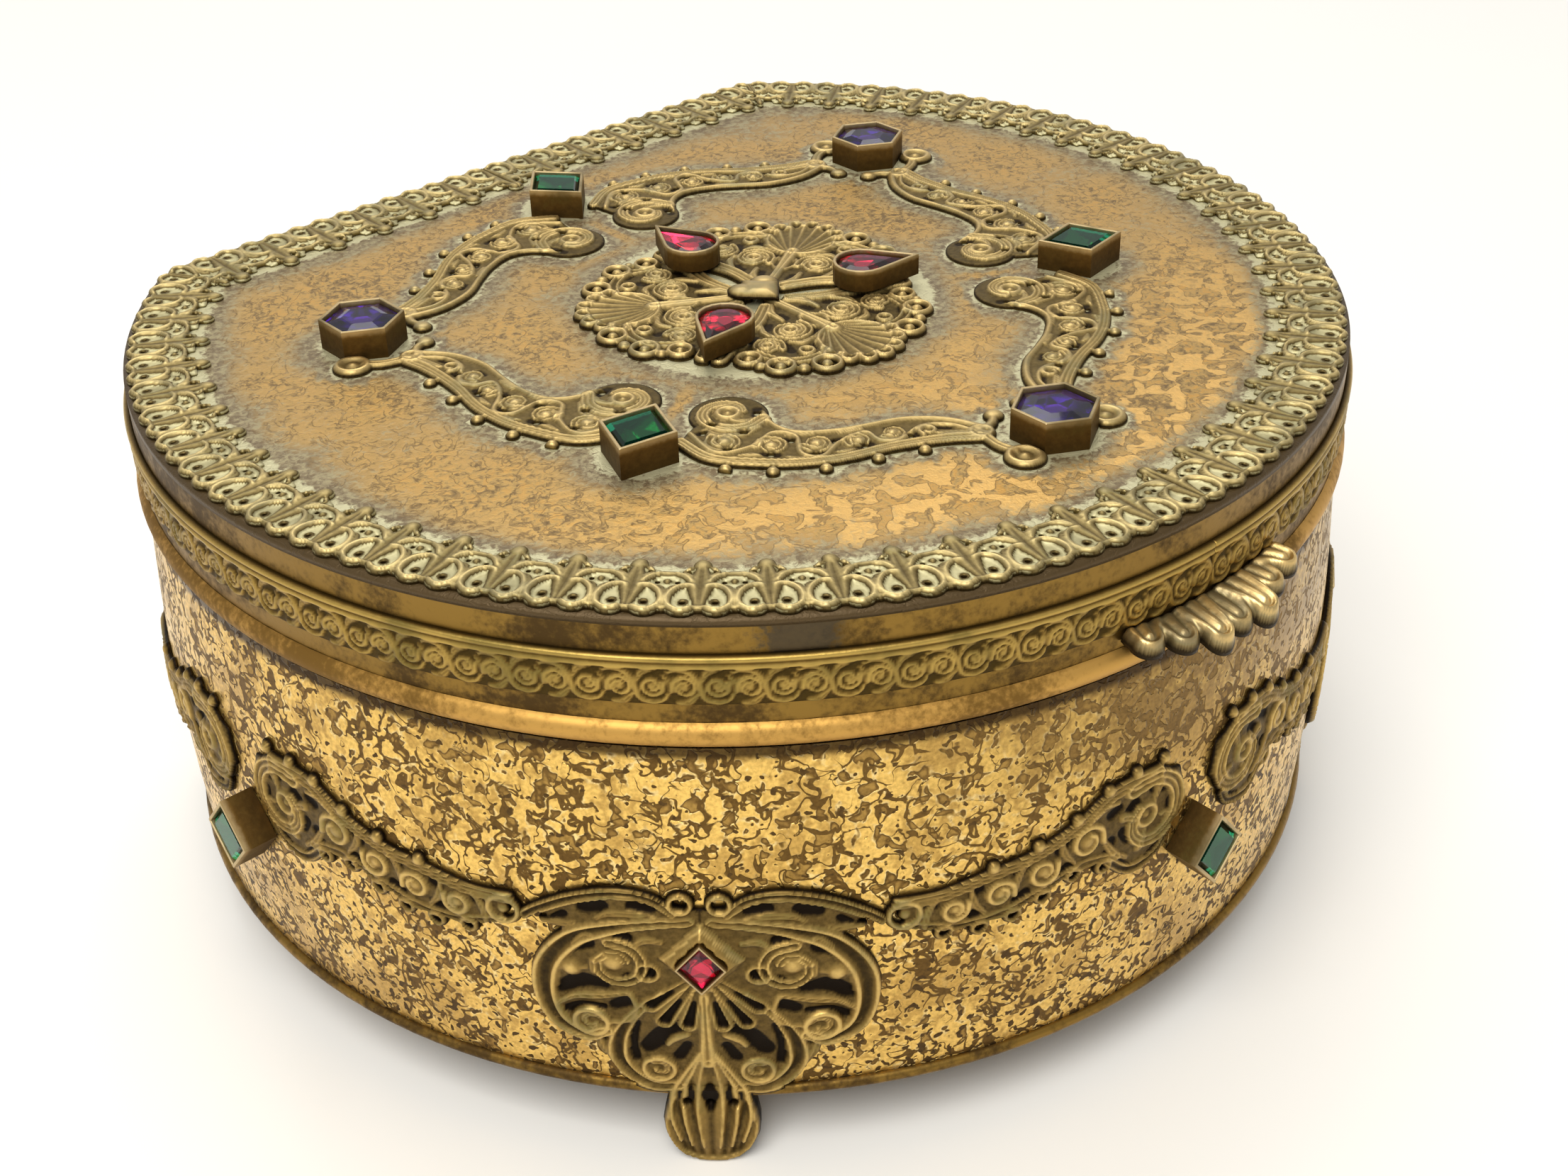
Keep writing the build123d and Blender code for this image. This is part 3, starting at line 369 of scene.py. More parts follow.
def cutGlass(name, tint, gloss="#FFFFFF"):
    # soda glass, cut and polished: clear depth with crisp facet edges
    material, add, shader = newMaterial(name)
    add(shader, {"Base Color": tint, "Roughness": 0.03, "IOR": 1.52, "Specular Tint": gloss,
                 "Transmission Weight": 1.0})
    return material


def foilBack(name, tint):
    # tinted foil behind the glass: throws the light back through the colour
    material, add, shader = newMaterial(name)
    place = add("TexCoord", out=3)
    wrinkle = add("TexNoise", {"Vector": place, "Scale": perMm(1.2), "Detail": 1.0})
    bump = add("Bump", {"Strength": 0.3, "Distance": 0.05 * mm, "Height": wrinkle})
    add(shader, {"Base Color": tint, "Metallic": 1.0, "Roughness": 0.14, "Normal": bump})
    return material


def satinCloth():
    # cream satin over wadding: soft sheen along the warp, fine weft drawn coarse enough to show
    material, add, shader = newMaterial("creamSatin")
    place = add("TexCoord", out=3)
    spread = add("Mapping", {"Vector": place, "Scale": (1.0, 0.12, 1.0)})
    weft = add("TexNoise", {"Vector": spread, "Scale": perMm(0.35), "Detail": 2.0})
    stain = add("TexNoise", {"Vector": place, "Scale": perMm(30.0), "Detail": 3.0})
    tone = add("ValToRGB", [stain], stops=[(0.35, "#D9C79C"), (0.6, "#EADFC2")])
    bump = add("Bump", {"Strength": 0.4, "Distance": 0.06 * mm, "Height": weft})
    add(shader, {"Base Color": tone, "Roughness": 0.42, "Normal": bump, "Sheen Weight": 0.35,
                 "Sheen Roughness": 0.4})
    return material


wallGold = etchedWall(wallLook)
plateGold = tarnishedPlate(lidLook)
# the darkest stops of these ramps paint shade in the sunk openings
filigreeGold = castGilt("stampedGiltFiligree", [(0.02, "#2A1F0E"), (0.24, "#66552F"), (0.58, "#A48C58"),
                        (0.9, "#D0B478")], "#8A815E")
# the dark brown stop between cream and gold paints shade along the sides of the ribs
borderGold = castGilt("stampedGiltBorder", [(0.0, "#CAC298"), (0.14, "#A89E72"), (0.27, "#4E3F20"),
                                            (0.55, "#907E50"), (0.92, "#D0BA80")], "#847C5C", 0.42)
footGold = castGilt("stampedGiltFeet", [(0.1, "#1A1209"), (0.28, "#4A3A1C"), (0.42, "#715B30"),
                                        (0.7, "#967A42"), (0.95, "#CEAE68")], "#766E48")
friezeGold = castGilt("rolledGiltFrieze", [(0.0, "#463614"), (0.4, "#765C2A"), (0.9, "#B4964E")], "#6A5E30",
                      0.36)
settingBronze = castGilt("dullGiltSettings", [(0.0, "#34260F"), (0.22, "#4E3A1A"), (0.5, "#74592C"),
                                              (0.85, "#BCA67A")], "#554A2A", 0.45)
thumbGold = castGilt("rubbedGiltLeaf", [(0.04, "#2E2414"), (0.3, "#6A5A3A"), (0.56, "#94825A"),
                                        (0.85, "#DCBC7C")], "#847A5E", 0.34)
# the band's dark gold is partly painted shade, from the border's overhang above the lid's band
bandGold = rolledGilt("burnishedGiltBand", "#86682F", "#4E3B1E", 15.0, 0.36,
                      {"at": (-0.0485, -0.055, 0.0776), "size": 0.0138, "tint": "#403A30"})
beadGold = rolledGilt("burnishedGiltBead", "#C2974E", "#7E5F2C", 24.0, 0.5)
hingeBrass = rolledGilt("turnedHingeBrass", "#A07E42", "#6A5028", 8.0, 0.34)
glass = {
    "violet": (cutGlass("violetCutGlass", "#9C70C4"), foilBack("violetFoil", "#B890E4")),
    "green": (cutGlass("greenCutGlass", "#1CA878", "#1CA878"), foilBack("greenFoil", "#2CA47C")),
    "red": (cutGlass("redCutGlass", "#E8729A"), foilBack("redFoil", "#FAA8BC")),
}
creamSatin = satinCloth()
print("finishes ready")


def bell(x, width):
    return np.exp(-(x / width) ** 2)


def unit(x):
    return np.clip(x, 0, 1)


def dotGap(at, x, y):
    return np.hypot(at[:, 0] - x, at[:, 1] - y)


def mirrorX(at):
    return np.stack([np.abs(at[:, 0]), at[:, 1]], 1)


# Relief: stamped ornament is drawn as strokes, each with a profile across its width
# u is 0 on the middle line and 1 at the edge; the result is 0 for the ground and 1 for the ridge
profiles = {
    "wire": lambda u: np.sqrt(unit(1 - u * u)),
    "ring": lambda u: np.sqrt(unit(1 - u * u)),
    "channel": lambda u: 0.2 + 0.8 * bell(u - 0.72, 0.3),
    "double": lambda u: 0.25 + 0.75 * np.maximum(bell(u - 0.76, 0.24), 0.8 * bell(u, 0.26)),
    "leaf": lambda u: np.sqrt(unit(1.1 - u * u)) * (1 - 0.45 * bell(u, 0.22)),
    "boss": lambda u: np.sqrt(unit(1 - 0.8 * u * u)),
    "cup": lambda u: 0.15 + 0.85 * np.maximum(bell(u - 0.76, 0.24), 0.8 * bell(u, 0.3)),
    "plate": lambda u: 0.25 + 0 * u,
}


def smoothLine(points):
    p = np.array(points, float)
    ends = np.vstack([2 * p[0] - p[1], p, 2 * p[-1] - p[-2]])
    t = np.linspace(0, 1, 6, endpoint=False)[:, None]
    rows = []
    for a, b, c, d in zip(ends, ends[1:], ends[2:], ends[3:]):
        rows.append(b + 0.5 * ((c - a) * t + (2 * a - 5 * b + 4 * c - d) * t ** 2
                               + (3 * b - a - 3 * c + d) * t ** 3))
    return np.vstack(rows + [p[-1:]])


def curl(x, y, radius, width, start, hand, turns=1.2):
    # centre line of a scroll that winds in to its heart
    share = np.linspace(0, 1, 10)
    angle = np.radians(start + hand * 360 * turns * share)
    r = (radius - width / 2) * (1 - share) + 0.34 * radius * share
    return list(zip(x + r * np.cos(angle), y + r * np.sin(angle)))


def lineGap(at, line):
    # distance to a line and the share of its length at the nearest point
    steps = np.hypot(*np.diff(line, axis=0).T)
    begun = np.concatenate([[0], np.cumsum(steps)]) / steps.sum()
    best = np.full(len(at), 1e9)
    share = np.zeros(len(at))
    for a, b, first, last in zip(line, line[1:], begun, begun[1:]):
        along = b - a
        t = unit((at - a) @ along / (along @ along))
        gap = np.hypot(*(at - a - t[:, None] * along).T)
        nearer = gap < best
        best[nearer] = gap[nearer]
        share[nearer] = (first + t * (last - first))[nearer]
    return best, share


def areaGap(at, corners):
    # signed distance to a closed outline, less than zero inside
    loop = np.array(list(corners) + [corners[0]], float)
    gap, _ = lineGap(at, loop)
    inside = np.zeros(len(at), bool)
    for (ax, ay), (bx, by) in zip(loop, loop[1:]):
        if ay != by:
            crosses = ((ay > at[:, 1]) != (by > at[:, 1])) & (
                at[:, 0] < (bx - ax) * (at[:, 1] - ay) / (by - ay) + ax)
            inside ^= crosses
    return np.where(inside, -gap, gap)


def pit(x0, y0, x1, y1, w0, w1):
    # a short sunk stroke from one point to another, with its two widths, painted dark as the shade in an
    # opening
    return "pit", [(x0, y0), (x1, y1)], [w0, w1]


def moved(stroke, move):
    # the same stroke with its points moved
    kind, first, *rest = stroke
    if isinstance(first, list):
        return kind, [move(x, y) for x, y in first], *rest
    return kind, *move(first, rest[0]), *rest[1:]


def strokeField(at, strokes, web=0.0):
    # signed distance to the stamped outline and height of the relief, for points of a drawing
    # A stroke is its profile with points, widths and level, or with x, y, radius (a ring's two) and level.
    # An area is flat ground, a pit is sunk and painted dark as the shade in an opening, a cut is a hole,
    # and a form has a function of its own.
    gap = np.full(len(at), 9.0)
    rise = np.zeros(len(at))
    for kind, first, *rest in strokes:
        if kind == "cut":
            continue
        if kind in ("form", "area"):
            own, ownRise = first(at) if kind == "form" else (areaGap(at, first), rest[0])
            gap = np.minimum(gap, own)
            rise = np.where(own < (0.3 if kind == "form" else 0.1), np.maximum(rise, ownRise), rise)
            continue
        drawn = isinstance(first, list)
        if drawn:
            line = smoothLine(first)
            reach = max(rest[0]) / 2 + 1.2
            near = np.all((at > line.min(0) - reach) & (at < line.max(0) + reach), axis=1)
        else:
            near = np.all(np.abs(at - (first, rest[0])) < rest[1] + 1.2, axis=1)
        if not near.any():
            continue
        if drawn:
            away, share = lineGap(at[near], line)
            half = np.interp(share, np.linspace(0, 1, len(rest[0])), rest[0]) / 2
            if kind == "pit":
                # what is drawn later stands over it
                rise[near] *= unit((away - half) / 0.3 + 0.3)
                continue
        else:
            away, half = dotGap(at[near], first, rest[0]), rest[1]
            if kind == "ring":
                away, half = np.abs(away - (half + rest[2]) / 2), (half - rest[2]) / 2
        gap[near] = np.minimum(gap[near], away - half)
        u = away / half
        raised = np.maximum(rise[near], rest[-1] * profiles[kind](np.minimum(u, 1)))
        rise[near] = np.where(u <= 1.15, raised, rise[near])
    rise *= unit(0.5 - gap / 0.2)
    gap = gap - web
    for kind, first, *rest in strokes:
        if kind == "cut":
            own = dotGap(at, first, rest[0]) - rest[1] if rest else areaGap(at, first)
            gap = np.maximum(gap, -own)
            rise *= unit(own / 0.35 + 0.3)
    return gap, rise


def reliefSheet(field, area, cell, thick, ground=0.3, under=0.0):
    # a fine grid, cut to the stamped outline, raised to its relief and closed behind
    x0, y0, x1, y1 = area
    bm = bmesh.new()
    bmesh.ops.create_grid(bm, x_segments=round((x1 - x0) / cell), y_segments=round((y1 - y0) / cell),
                          size=0.5)
    bmesh.ops.transform(bm, verts=bm.verts, matrix=Matrix.Translation(((x0 + x1) / 2, (y0 + y1) / 2, 0))
                        @ Matrix.Diagonal((x1 - x0, y1 - y0, 1, 1)))
    gap, _ = field(np.array([v.co.xy for v in bm.verts]))
    bmesh.ops.delete(bm, geom=[v for v, g in zip(bm.verts, gap) if g > 0.42 * cell], context="VERTS")
    for _ in range(4):
        pinched = [v for v in bm.verts if sum(e.is_boundary for e in v.link_edges) > 2]
        bmesh.ops.delete(bm, geom=pinched, context="VERTS")
    bmesh.ops.delete(bm, geom=[v for v in bm.verts if not v.link_faces], context="VERTS")
    edge = [v for v in bm.verts if v.is_boundary]
    for _ in range(2):
        at = np.array([v.co.xy for v in edge])
        here, _ = field(at)
        slope = np.stack([field(at + (0.05, 0))[0] - here, field(at + (0, 0.05))[0] - here], 1) / 0.05
        step = np.clip(here, -0.6 * cell, 0.6 * cell)[:, None] * slope / np.maximum(
            np.hypot(*slope.T), 0.5)[:, None]
        for v, move in zip(edge, step):
            v.co.x -= move[0]
            v.co.y -= move[1]
    wearAndShade = bm.verts.layers.float.new("wearAndShade")
    _, rise = field(np.array([v.co.xy for v in bm.verts]))
    for v, height in zip(bm.verts, rise):
        v[wearAndShade] = height
    back = list(bm.verts)
    made = bmesh.ops.extrude_face_region(bm, geom=list(bm.faces))["geom"]
    front = [v for v in made if isinstance(v, bmesh.types.BMVert)]
    for v in front:
        v.co.z = thick * (ground + (1 - ground) * v[wearAndShade])
        if v[wearAndShade] > 1.05:
            v[wearAndShade] = 0.7
    bmesh.ops.smooth_vert(bm, verts=front, factor=0.5, use_axis_z=True)
    # the back takes the under value, so the sides darken towards it: painted shade where the sheet meets
    # what it lies on
    for v in back:
        v[wearAndShade] = under
        v.co.z = 0.0
    bmesh.ops.recalc_face_normals(bm, faces=bm.faces)
    return bm


def makePiece(name, bm, place, finish, body, nodes=(), smooth=True):
    # the bmesh becomes an object whose place is in its mesh
    mesh = bpy.data.meshes.new(name)
    for face in bm.faces:
        face.smooth = smooth
    bm.to_mesh(mesh)
    bm.free()
    co = np.empty(len(mesh.vertices) * 3)
    mesh.vertices.foreach_get("co", co)
    mesh.vertices.foreach_set("co", (place(co.reshape(-1, 3)) * mm).ravel())
    mesh.update()
    for material in finish if isinstance(finish, tuple) else (finish,):
        mesh.materials.append(material)
    piece = bpy.data.objects.new(name, mesh)
    bpy.context.scene.collection.objects.link(piece)
    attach(piece, body)
    if nodes:
        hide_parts(*nodes)
    return piece


def mirrored(bm):
    # the same mesh with its mirror image across x = 0
    bmesh.ops.mirror(bm, geom=list(bm.verts) + list(bm.edges) + list(bm.faces), axis="X", merge_dist=0)
    bmesh.ops.recalc_face_normals(bm, faces=bm.faces)
    return bm


def lozengeCorners(a, b, grow=0.0):
    scale = 1 + grow * math.hypot(a, b) / (a * b)
    return [(0, a * scale), (-b * scale, 0), (0, -a * scale), (b * scale, 0)]


def hexagonCorners(r):
    return [(r * math.cos(math.radians(30 + 60 * i)),
             r * math.sin(math.radians(30 + 60 * i))) for i in range(6)]


def pearCorners(radius, tip):
    touch = math.asin(radius / tip)
    turn = np.linspace(touch, -math.pi - touch, 14)
    return [(0, tip)] + [(radius * math.cos(t), radius * math.sin(t)) for t in turn]


# Feet: palmettes of scrolls that end in a ribbed toe
feet = {
    "at": (64.40, 193.21), "thick": 1.4, "cell": 0.25, "rubyH": 33.8, "rubyA": 3.7, "rubyB": 3.0,
    "toeTop": 9.6, "toeOut": 1.8, "toeIn": -1.2, "toeBulge": 0.9, "rubyOut": 1.9, "rubyDepth": 2.2,
}


def toeForm(at):
    # a spoon-shaped toe: a rounded rim and ribs that spread from the stem above it
    half = [(1.4, 17.6), (2.3, 15.4), (3.4, 13.0), (4.7, 10.6), (5.6, 8.2), (5.95, 6.0), (5.75, 4.0),
            (4.9, 2.0), (3.6, 0.6), (1.9, 0.0)]
    gap = areaGap(at, [(-x, y) for x, y in half] + half[::-1])
    rim = bell(gap + 0.45, 0.34)
    bowl = 0.36 + 0.24 * np.sqrt(unit(1 - (at[:, 0] / 6.4) ** 2))
    for x in (0.0, 2.25, 3.95, 5.2):
        bowl = bowl - 0.3 * bell(at[:, 0] - x * np.clip(0.55 + at[:, 1] / 18, 0, 1.05), 0.4)
    rise = np.maximum(bowl, 0.9 * rim)
    # three openings in the toe, sunk and painted dark as shade
    for x, y, r in ((0.0, 15.4, 1.0), (0.0, 11.0, 1.0), (2.9, 11.0, 1.05)):
        rise *= unit((np.hypot(at[:, 0] - x, (at[:, 1] - y) * 0.8) - r) / 0.3 + 0.3)
    return gap, rise


def rubySeat(at):
    # the olive lozenge round the red stone
    gap = areaGap(at - (0, feet["rubyH"]), lozengeCorners(5.3, 4.5))
    return gap, 0.75 + np.clip(-gap * 1.2, 0, 1.2)


footStrokes = [
    # raised ground, its small openings painted dark as shade, then the strokes that stand over them
    ("area", [(0, 41), (3.6, 41.6), (9, 42.4), (14.8, 41), (18.6, 39), (16, 36.6), (18.4, 32), (19.2, 27),
              (18, 22), (15, 20.2), (13.2, 20.6), (12.6, 17), (10.2, 13.4), (6.6, 11.8), (0, 13)], 0.36),
    pit(5.4, 41, 7.6, 41.3, 1, 1.4), pit(11.2, 40.9, 13.4, 40.4, 1.5, 1.3),
    pit(15.8, 39, 17, 38.2, 0.9, 0.7), pit(8.6, 36.4, 9.6, 36.5, 1.3, 1.3),
    pit(6, 31.2, 6.9, 31.6, 1.5, 1.5), pit(8.6, 30.2, 9.4, 29.5, 1.3, 1.3),
    ("pit", [(13.2, 35), (15.4, 34.4), (16.8, 32.8)], [1.6, 2.2, 1.5]),
    ("pit", [(11.6, 28.6), (14.4, 28.9), (17, 27.2)], [1.1, 2.2, 1.4]),
    pit(9.2, 26.2, 10.6, 25.4, 1.6, 1.3),
    ("pit", [(12, 24.9), (14.6, 24.6), (17.2, 23.4)], [0.7, 1.2, 0.8]), pit(11, 20.4, 14, 19, 1.2, 1),
    ("pit", [(3.2, 22.8), (5.2, 20.9), (7, 18.8)], [1.7, 2.5, 1.9]), pit(2.3, 19.4, 3.4, 17.4, 1, 1.3),
    ("pit", [(8.2, 22.8), (8.9, 19.6), (8.6, 16.6)], [0.8, 1.1, 0.8]),
    ("pit", [(9.6, 38.1), (14.6, 35.9), (18.1, 31.4), (19, 26.4), (17.8, 22.4)], [0.1, 1.1, 1.5, 1.1, 0.2]),
    ("pit", [(8, 24.8), (10.2, 20.8), (10.6, 17), (8.8, 13.6)], [0.1, 0.9, 0.9, 0.2]),
    ("ring", 2.2, 42, 1.6, 0.85, 0.9),
    ("channel", [(3.1, 40.7), (5.6, 42.5), (9.5, 43), (14.5, 41.7), (18.6, 39.5), (20.6, 38)],
     [1.1, 1.5, 1.4], 0.9),
    ("leaf", [(5, 39.8), (7.6, 40.2), (10.4, 40), (12, 39)], [0.6, 1.1, 1.3, 0.5], 0.72),
    ("leaf", [(14.6, 38), (16.4, 37.6), (18.6, 37.6)], [0.7, 1.2, 0.5], 0.7),
    # the great C with its dark channel, from the ruby round to the scroll at the side
    ("channel", [(1.2, 39.5), (5, 39.1), (10, 38), (14.8, 35.8), (18.2, 31.4), (19, 26.4), (17.8, 22),
                 (14.6, 20), (11.8, 21.2)], [1.1, 1.6, 2.9, 3.3, 2.7, 1.7], 1),
    # scroll beside the ruby, its open eye and the leaves that hold it
    ("channel", curl(10, 32.2, 4.2, 1.2, 80, 1, 1.2), [1.5, 1.3, 0.8], 1), ("boss", 10.3, 32.6, 1.4, 0.9),
    ("leaf", [(11.2, 33.6), (12.6, 32.4), (12.8, 30.6)], [0.8, 1.3, 0.5], 0.8),
    ("ring", 6.4, 31.4, 1.65, 1, 0.85),
    ("leaf", [(4.6, 36.2), (6.4, 36.4), (8, 35.2)], [0.8, 1.3, 0.6], 0.8),
    ("leaf", [(11.6, 36.2), (13.4, 36.2), (15, 34.8)], [0.6, 1.1, 0.5], 0.75),
    ("boss", 15.4, 30.9, 1.25, 0.95),
    ("wire", [(13.6, 31.2), (15.4, 30.8), (17.2, 30.6)], [0.8, 0.9], 0.65),
    ("leaf", [(9, 27.8), (12, 27), (15.2, 26.4), (17.4, 24.8)], [0.9, 1.4, 0.7], 0.85),
    ("wire", [(8.6, 27.8), (8, 25.4), (8.8, 23.4), (11.2, 22.6)], [0.9, 1, 0.7], 0.8),
    ("ring", 13.6, 22.4, 2.5, 1.5, 1), ("leaf", curl(13.5, 22.4, 1.7, 0.6, 150, -1, 0.8), [0.9, 0.8], 0.9),
    # lower scroll
    ("channel", [(4.8, 28.2), (7.8, 25), (10.2, 20.8), (10.7, 16.8), (9.2, 13.8), (6.6, 12.2), (3.6, 12.4)],
     [0.9, 1.4, 2.6, 2.4, 1.3], 0.95),
    ("ring", 5.9, 15.2, 2.3, 1.45, 0.95), ("leaf", curl(5.9, 15.2, 1.6, 0.6, 60, 1, 0.8), [0.9, 0.7], 0.9),
    ("wire", [(2.2, 21.4), (3.8, 20.6), (4.6, 19.6)], [0.9, 1.3, 0.9], 0.85),
    ("leaf", [(13.2, 20.6), (12.6, 17.8), (11.2, 15.4)], [1.1, 1.2, 0.5], 0.8),
]
# three channelled petals on each side of the stem, each with an opening at its end painted dark as shade
for lean, reach in ((13, 9), (30, 9.6), (47, 8.6)):
    lean = math.radians(lean)
    root, middle, tip = ((r * math.sin(lean), 31.9 - r * math.cos(lean)) for r in (2, 0.6 * reach, reach))
    footStrokes.append(("channel", [root, middle, tip], [0.8, 1.6, 2.3], 0.88))
    footStrokes.append(("pit", [middle, tip], [0.35, 1.25]))
footStrokes += [
    # stem: a long leaf whose ribs part over the toe
    ("leaf", [(0, 30.4), (0, 25.5), (0, 20.6), (0, 16.8)], [0.7, 1.1, 1.8, 2.6], 1), ("form", toeForm),
    pit(0, 9.6, 0, 8.7, 1, 0.5),
    ("wire", [(0.4, 19), (0.8, 15.8), (1.3, 12.6), (1.5, 8.6), (1, 2.6)], [0.5, 0.9, 0.6], 0.88),
    ("wire", [(0.7, 18.8), (1.8, 15.4), (2.9, 12.2), (3.2, 8), (2.4, 2.8)], [0.5, 0.9, 0.6], 0.92),
    ("wire", [(0.9, 18.4), (2.9, 14.6), (4.4, 11.4), (4.8, 7.4), (3.8, 3.4)], [0.6, 0.9, 0.6], 0.95),
    ("form", rubySeat),
    ("cut", [(x, y + feet["rubyH"]) for x, y in lozengeCorners(feet["rubyA"], feet["rubyB"], -0.2)]),
]
footStrokes += [("cut", x, 9.8, 0.5) for x in (0, 2.8)]


def footField(at):
    return strokeField(mirrorX(at), footStrokes, 0.1)


def shapeFoot(co, s0):
    # the toe is a thick block under the wall; above it the stamping clears the bead at the wall's foot
    h, z = np.maximum(co[:, 1], 0), co[:, 2]
    toe = unit((feet["toeTop"] + 2.2 - h) / 2.2)
    bulge = feet["toeBulge"] * toe * unit(1 - (co[:, 0] / 6.2) ** 2 - ((h - 5.2) / 7.5) ** 2)
    front = z * (1 + toe * (feet["toeOut"] / feet["thick"] - 1)) + bulge
    bead = np.where((h > 9.9) & (h < 12), 0.95, 0)
    back = np.where(h < feet["toeTop"], feet["toeIn"], bead)
    depth = np.where(z <= 0, back, np.maximum(front, back + 0.25))
    return ontoWall(np.stack([co[:, 0], h, depth], 1), s0)


footSheet = reliefSheet(footField, (-21.2, -0.1, 21.2, 44), feet["cell"], feet["thick"], 0.2, 0.24)
for end, s0 in zip(("front", "rear"), feet["at"]):
    for side, sign in (("right", 1), ("left", -1)):
        makePiece("foot" + end.title() + side.title(), footSheet.copy(),
                  lambda co: shapeFoot(co, sign * s0), footGold, "box",
                  ["foot_" + end + "_" + side])
footSheet.free()
print("feet stamped")


# Swags on the wall, one pair at each stone
swags = {"thick": 1.2, "cell": 0.26, "frontLength": 43.6, "backLength": 38.3, "stoneH": 33.1, "stoneA": 5.4,
         "stoneB": 4.6}


def swagStrokes(length):
    k = length / swags["frontLength"]
    top = [(7.6, 47), (14, 46.8), (19, 44.2), (25, 42), (31, 41), (37, 39.8), (42, 39.9)]
    foot = [(13.6, 37.2), (18.6, 38), (24, 36.4), (29, 34.9), (35, 34.8), (41, 36.4)]
    strokes = [
        ("area", [(3.4, 45.6), *top, *foot[::-1], (10.6, 34), (5.6, 36.6), (2.4, 41)], 0.34),
        pit(10.9, 43.6, 12.3, 42.5, 1.5, 1.2), pit(6.4, 44.1, 7.9, 44.8, 1.2, 1.4),
        pit(11.8, 38.9, 12.6, 40.2, 1.3, 1.3), pit(5, 40, 5, 41.6, 1.1, 1.3),
        pit(7.6, 37.6, 9.2, 37.2, 1.2, 1.2), pit(13.4, 44.2, 14.6, 43.6, 1, 1.1),
        pit(14.4, 39.6, 15, 38.2, 1.3, 1.1), pit(20.6, 42.6, 21.8, 41.4, 1, 1.1),
        pit(20.4, 38.6, 21.6, 38, 1.2, 1.1), pit(26.4, 40.7, 27.4, 39.9, 0.9, 1),
        pit(26.2, 36.8, 27.4, 36.2, 1.2, 1), pit(32, 39.4, 33, 38.9, 0.9, 0.9),
        pit(31.9, 36.1, 33.1, 35.9, 1.1, 0.9), pit(37.6, 38.4, 38.6, 38.2, 0.9, 0.9),
        ("double", top, [2, 1.5, 1.5], 0.9), ("channel", foot, [1.2, 1.4, 1.1], 0.85),
        ("channel", [(5.2, 37), (7, 34.6), (11.4, 34), (15, 37)], [1.2, 1.7, 1.3], 0.85),
        ("double", curl(8.6, 41, 6.9, 2.2, 60, 1, 0.95), [2.3, 2.2, 1.4], 1),
        ("cup", 9.2, 41.4, 1.9, 0.95), ("leaf", [(12, 36.2), (14, 37.8), (16, 41)], [0.8, 1.3, 0.6], 0.8),
        ("leaf", [(13.6, 45.2), (16, 45), (19.4, 43)], [0.6, 1.2, 0.5], 0.8),
        ("ring", 41.2, 38.1, 2.3, 1.4, 0.95), ("boss", 41.2, 38.1, 0.75, 0.8),
    ]
    # petals inside the great scroll
    for lean in (20, 110, 200, 290):
        c, s = math.cos(math.radians(lean)), math.sin(math.radians(lean))
        strokes.append(("leaf", [(8.6 + 2.0 * c, 41.0 + 2.0 * s), (8.6 + 4.4 * c, 41.0 + 4.4 * s)],
                        [0.7, 1.6], 0.8))
    # scrolls that turn up and down along the strip, each with a leaf
    for i, (x, y, r) in enumerate(((18, 41.3, 2.9), (24, 39.3, 2.5), (29.6, 38, 2.4), (35.2, 37.4, 2.2))):
        hand = 1 if i % 2 else -1
        strokes.append(("wire", curl(x, y, r, 0.9, 160 * hand, hand, 1.25), [1.1, 0.8], 0.95))
        strokes.append(("boss", x, y, 0.5 * r - 0.35, 0.85))
        strokes.append(("leaf", [(x + 1.8, y + 2.4 * hand), (x + 3.2, y + 0.4 * hand),
                                 (x + 3.6, y - 2.2 * hand)], [0.6, 1.2, 0.4], 0.75))
    for x, y in ((15.4, 36.4), (19.8, 37), (23.9, 35.4), (27.8, 34.1), (32, 33.6), (36.4, 34.2)):
        strokes.append(("ring", x, y, 1.25, 0.6, 0.8))
    for x, y in ((6.4, 48.4), (10.8, 48.3), (15, 47.4), (19.4, 45), (24.6, 43.2), (30.4, 42.1)):
        strokes.append(("boss", x, y, 0.85, 0.9))
    corners = [(x, y + swags["stoneH"]) for x, y in lozengeCorners(swags["stoneA"], swags["stoneB"], 0.15)]
    return [moved(stroke, lambda x, y: (x * k, y)) for stroke in strokes] + [("cut", corners)]


quarter = math.pi * outline["wallR"] / 2
wallPlaces = {"front": 0.0, "right": quarter, "left": -quarter, "back": halfWay}
for name, s0 in wallPlaces.items():
    length = swags["backLength"] if name == "back" else swags["frontLength"]
    strokes = swagStrokes(length)
    sheet = reliefSheet(lambda at: strokeField(at, strokes, 0.08), (0, 32, length, 49.8), swags["cell"],
                        swags["thick"], 0.2, 0.24)
    makePiece("swag" + name.title(), mirrored(sheet), lambda co: ontoWall(co, s0), footGold, "box",
              ["swag_" + name])
print("swags stamped")


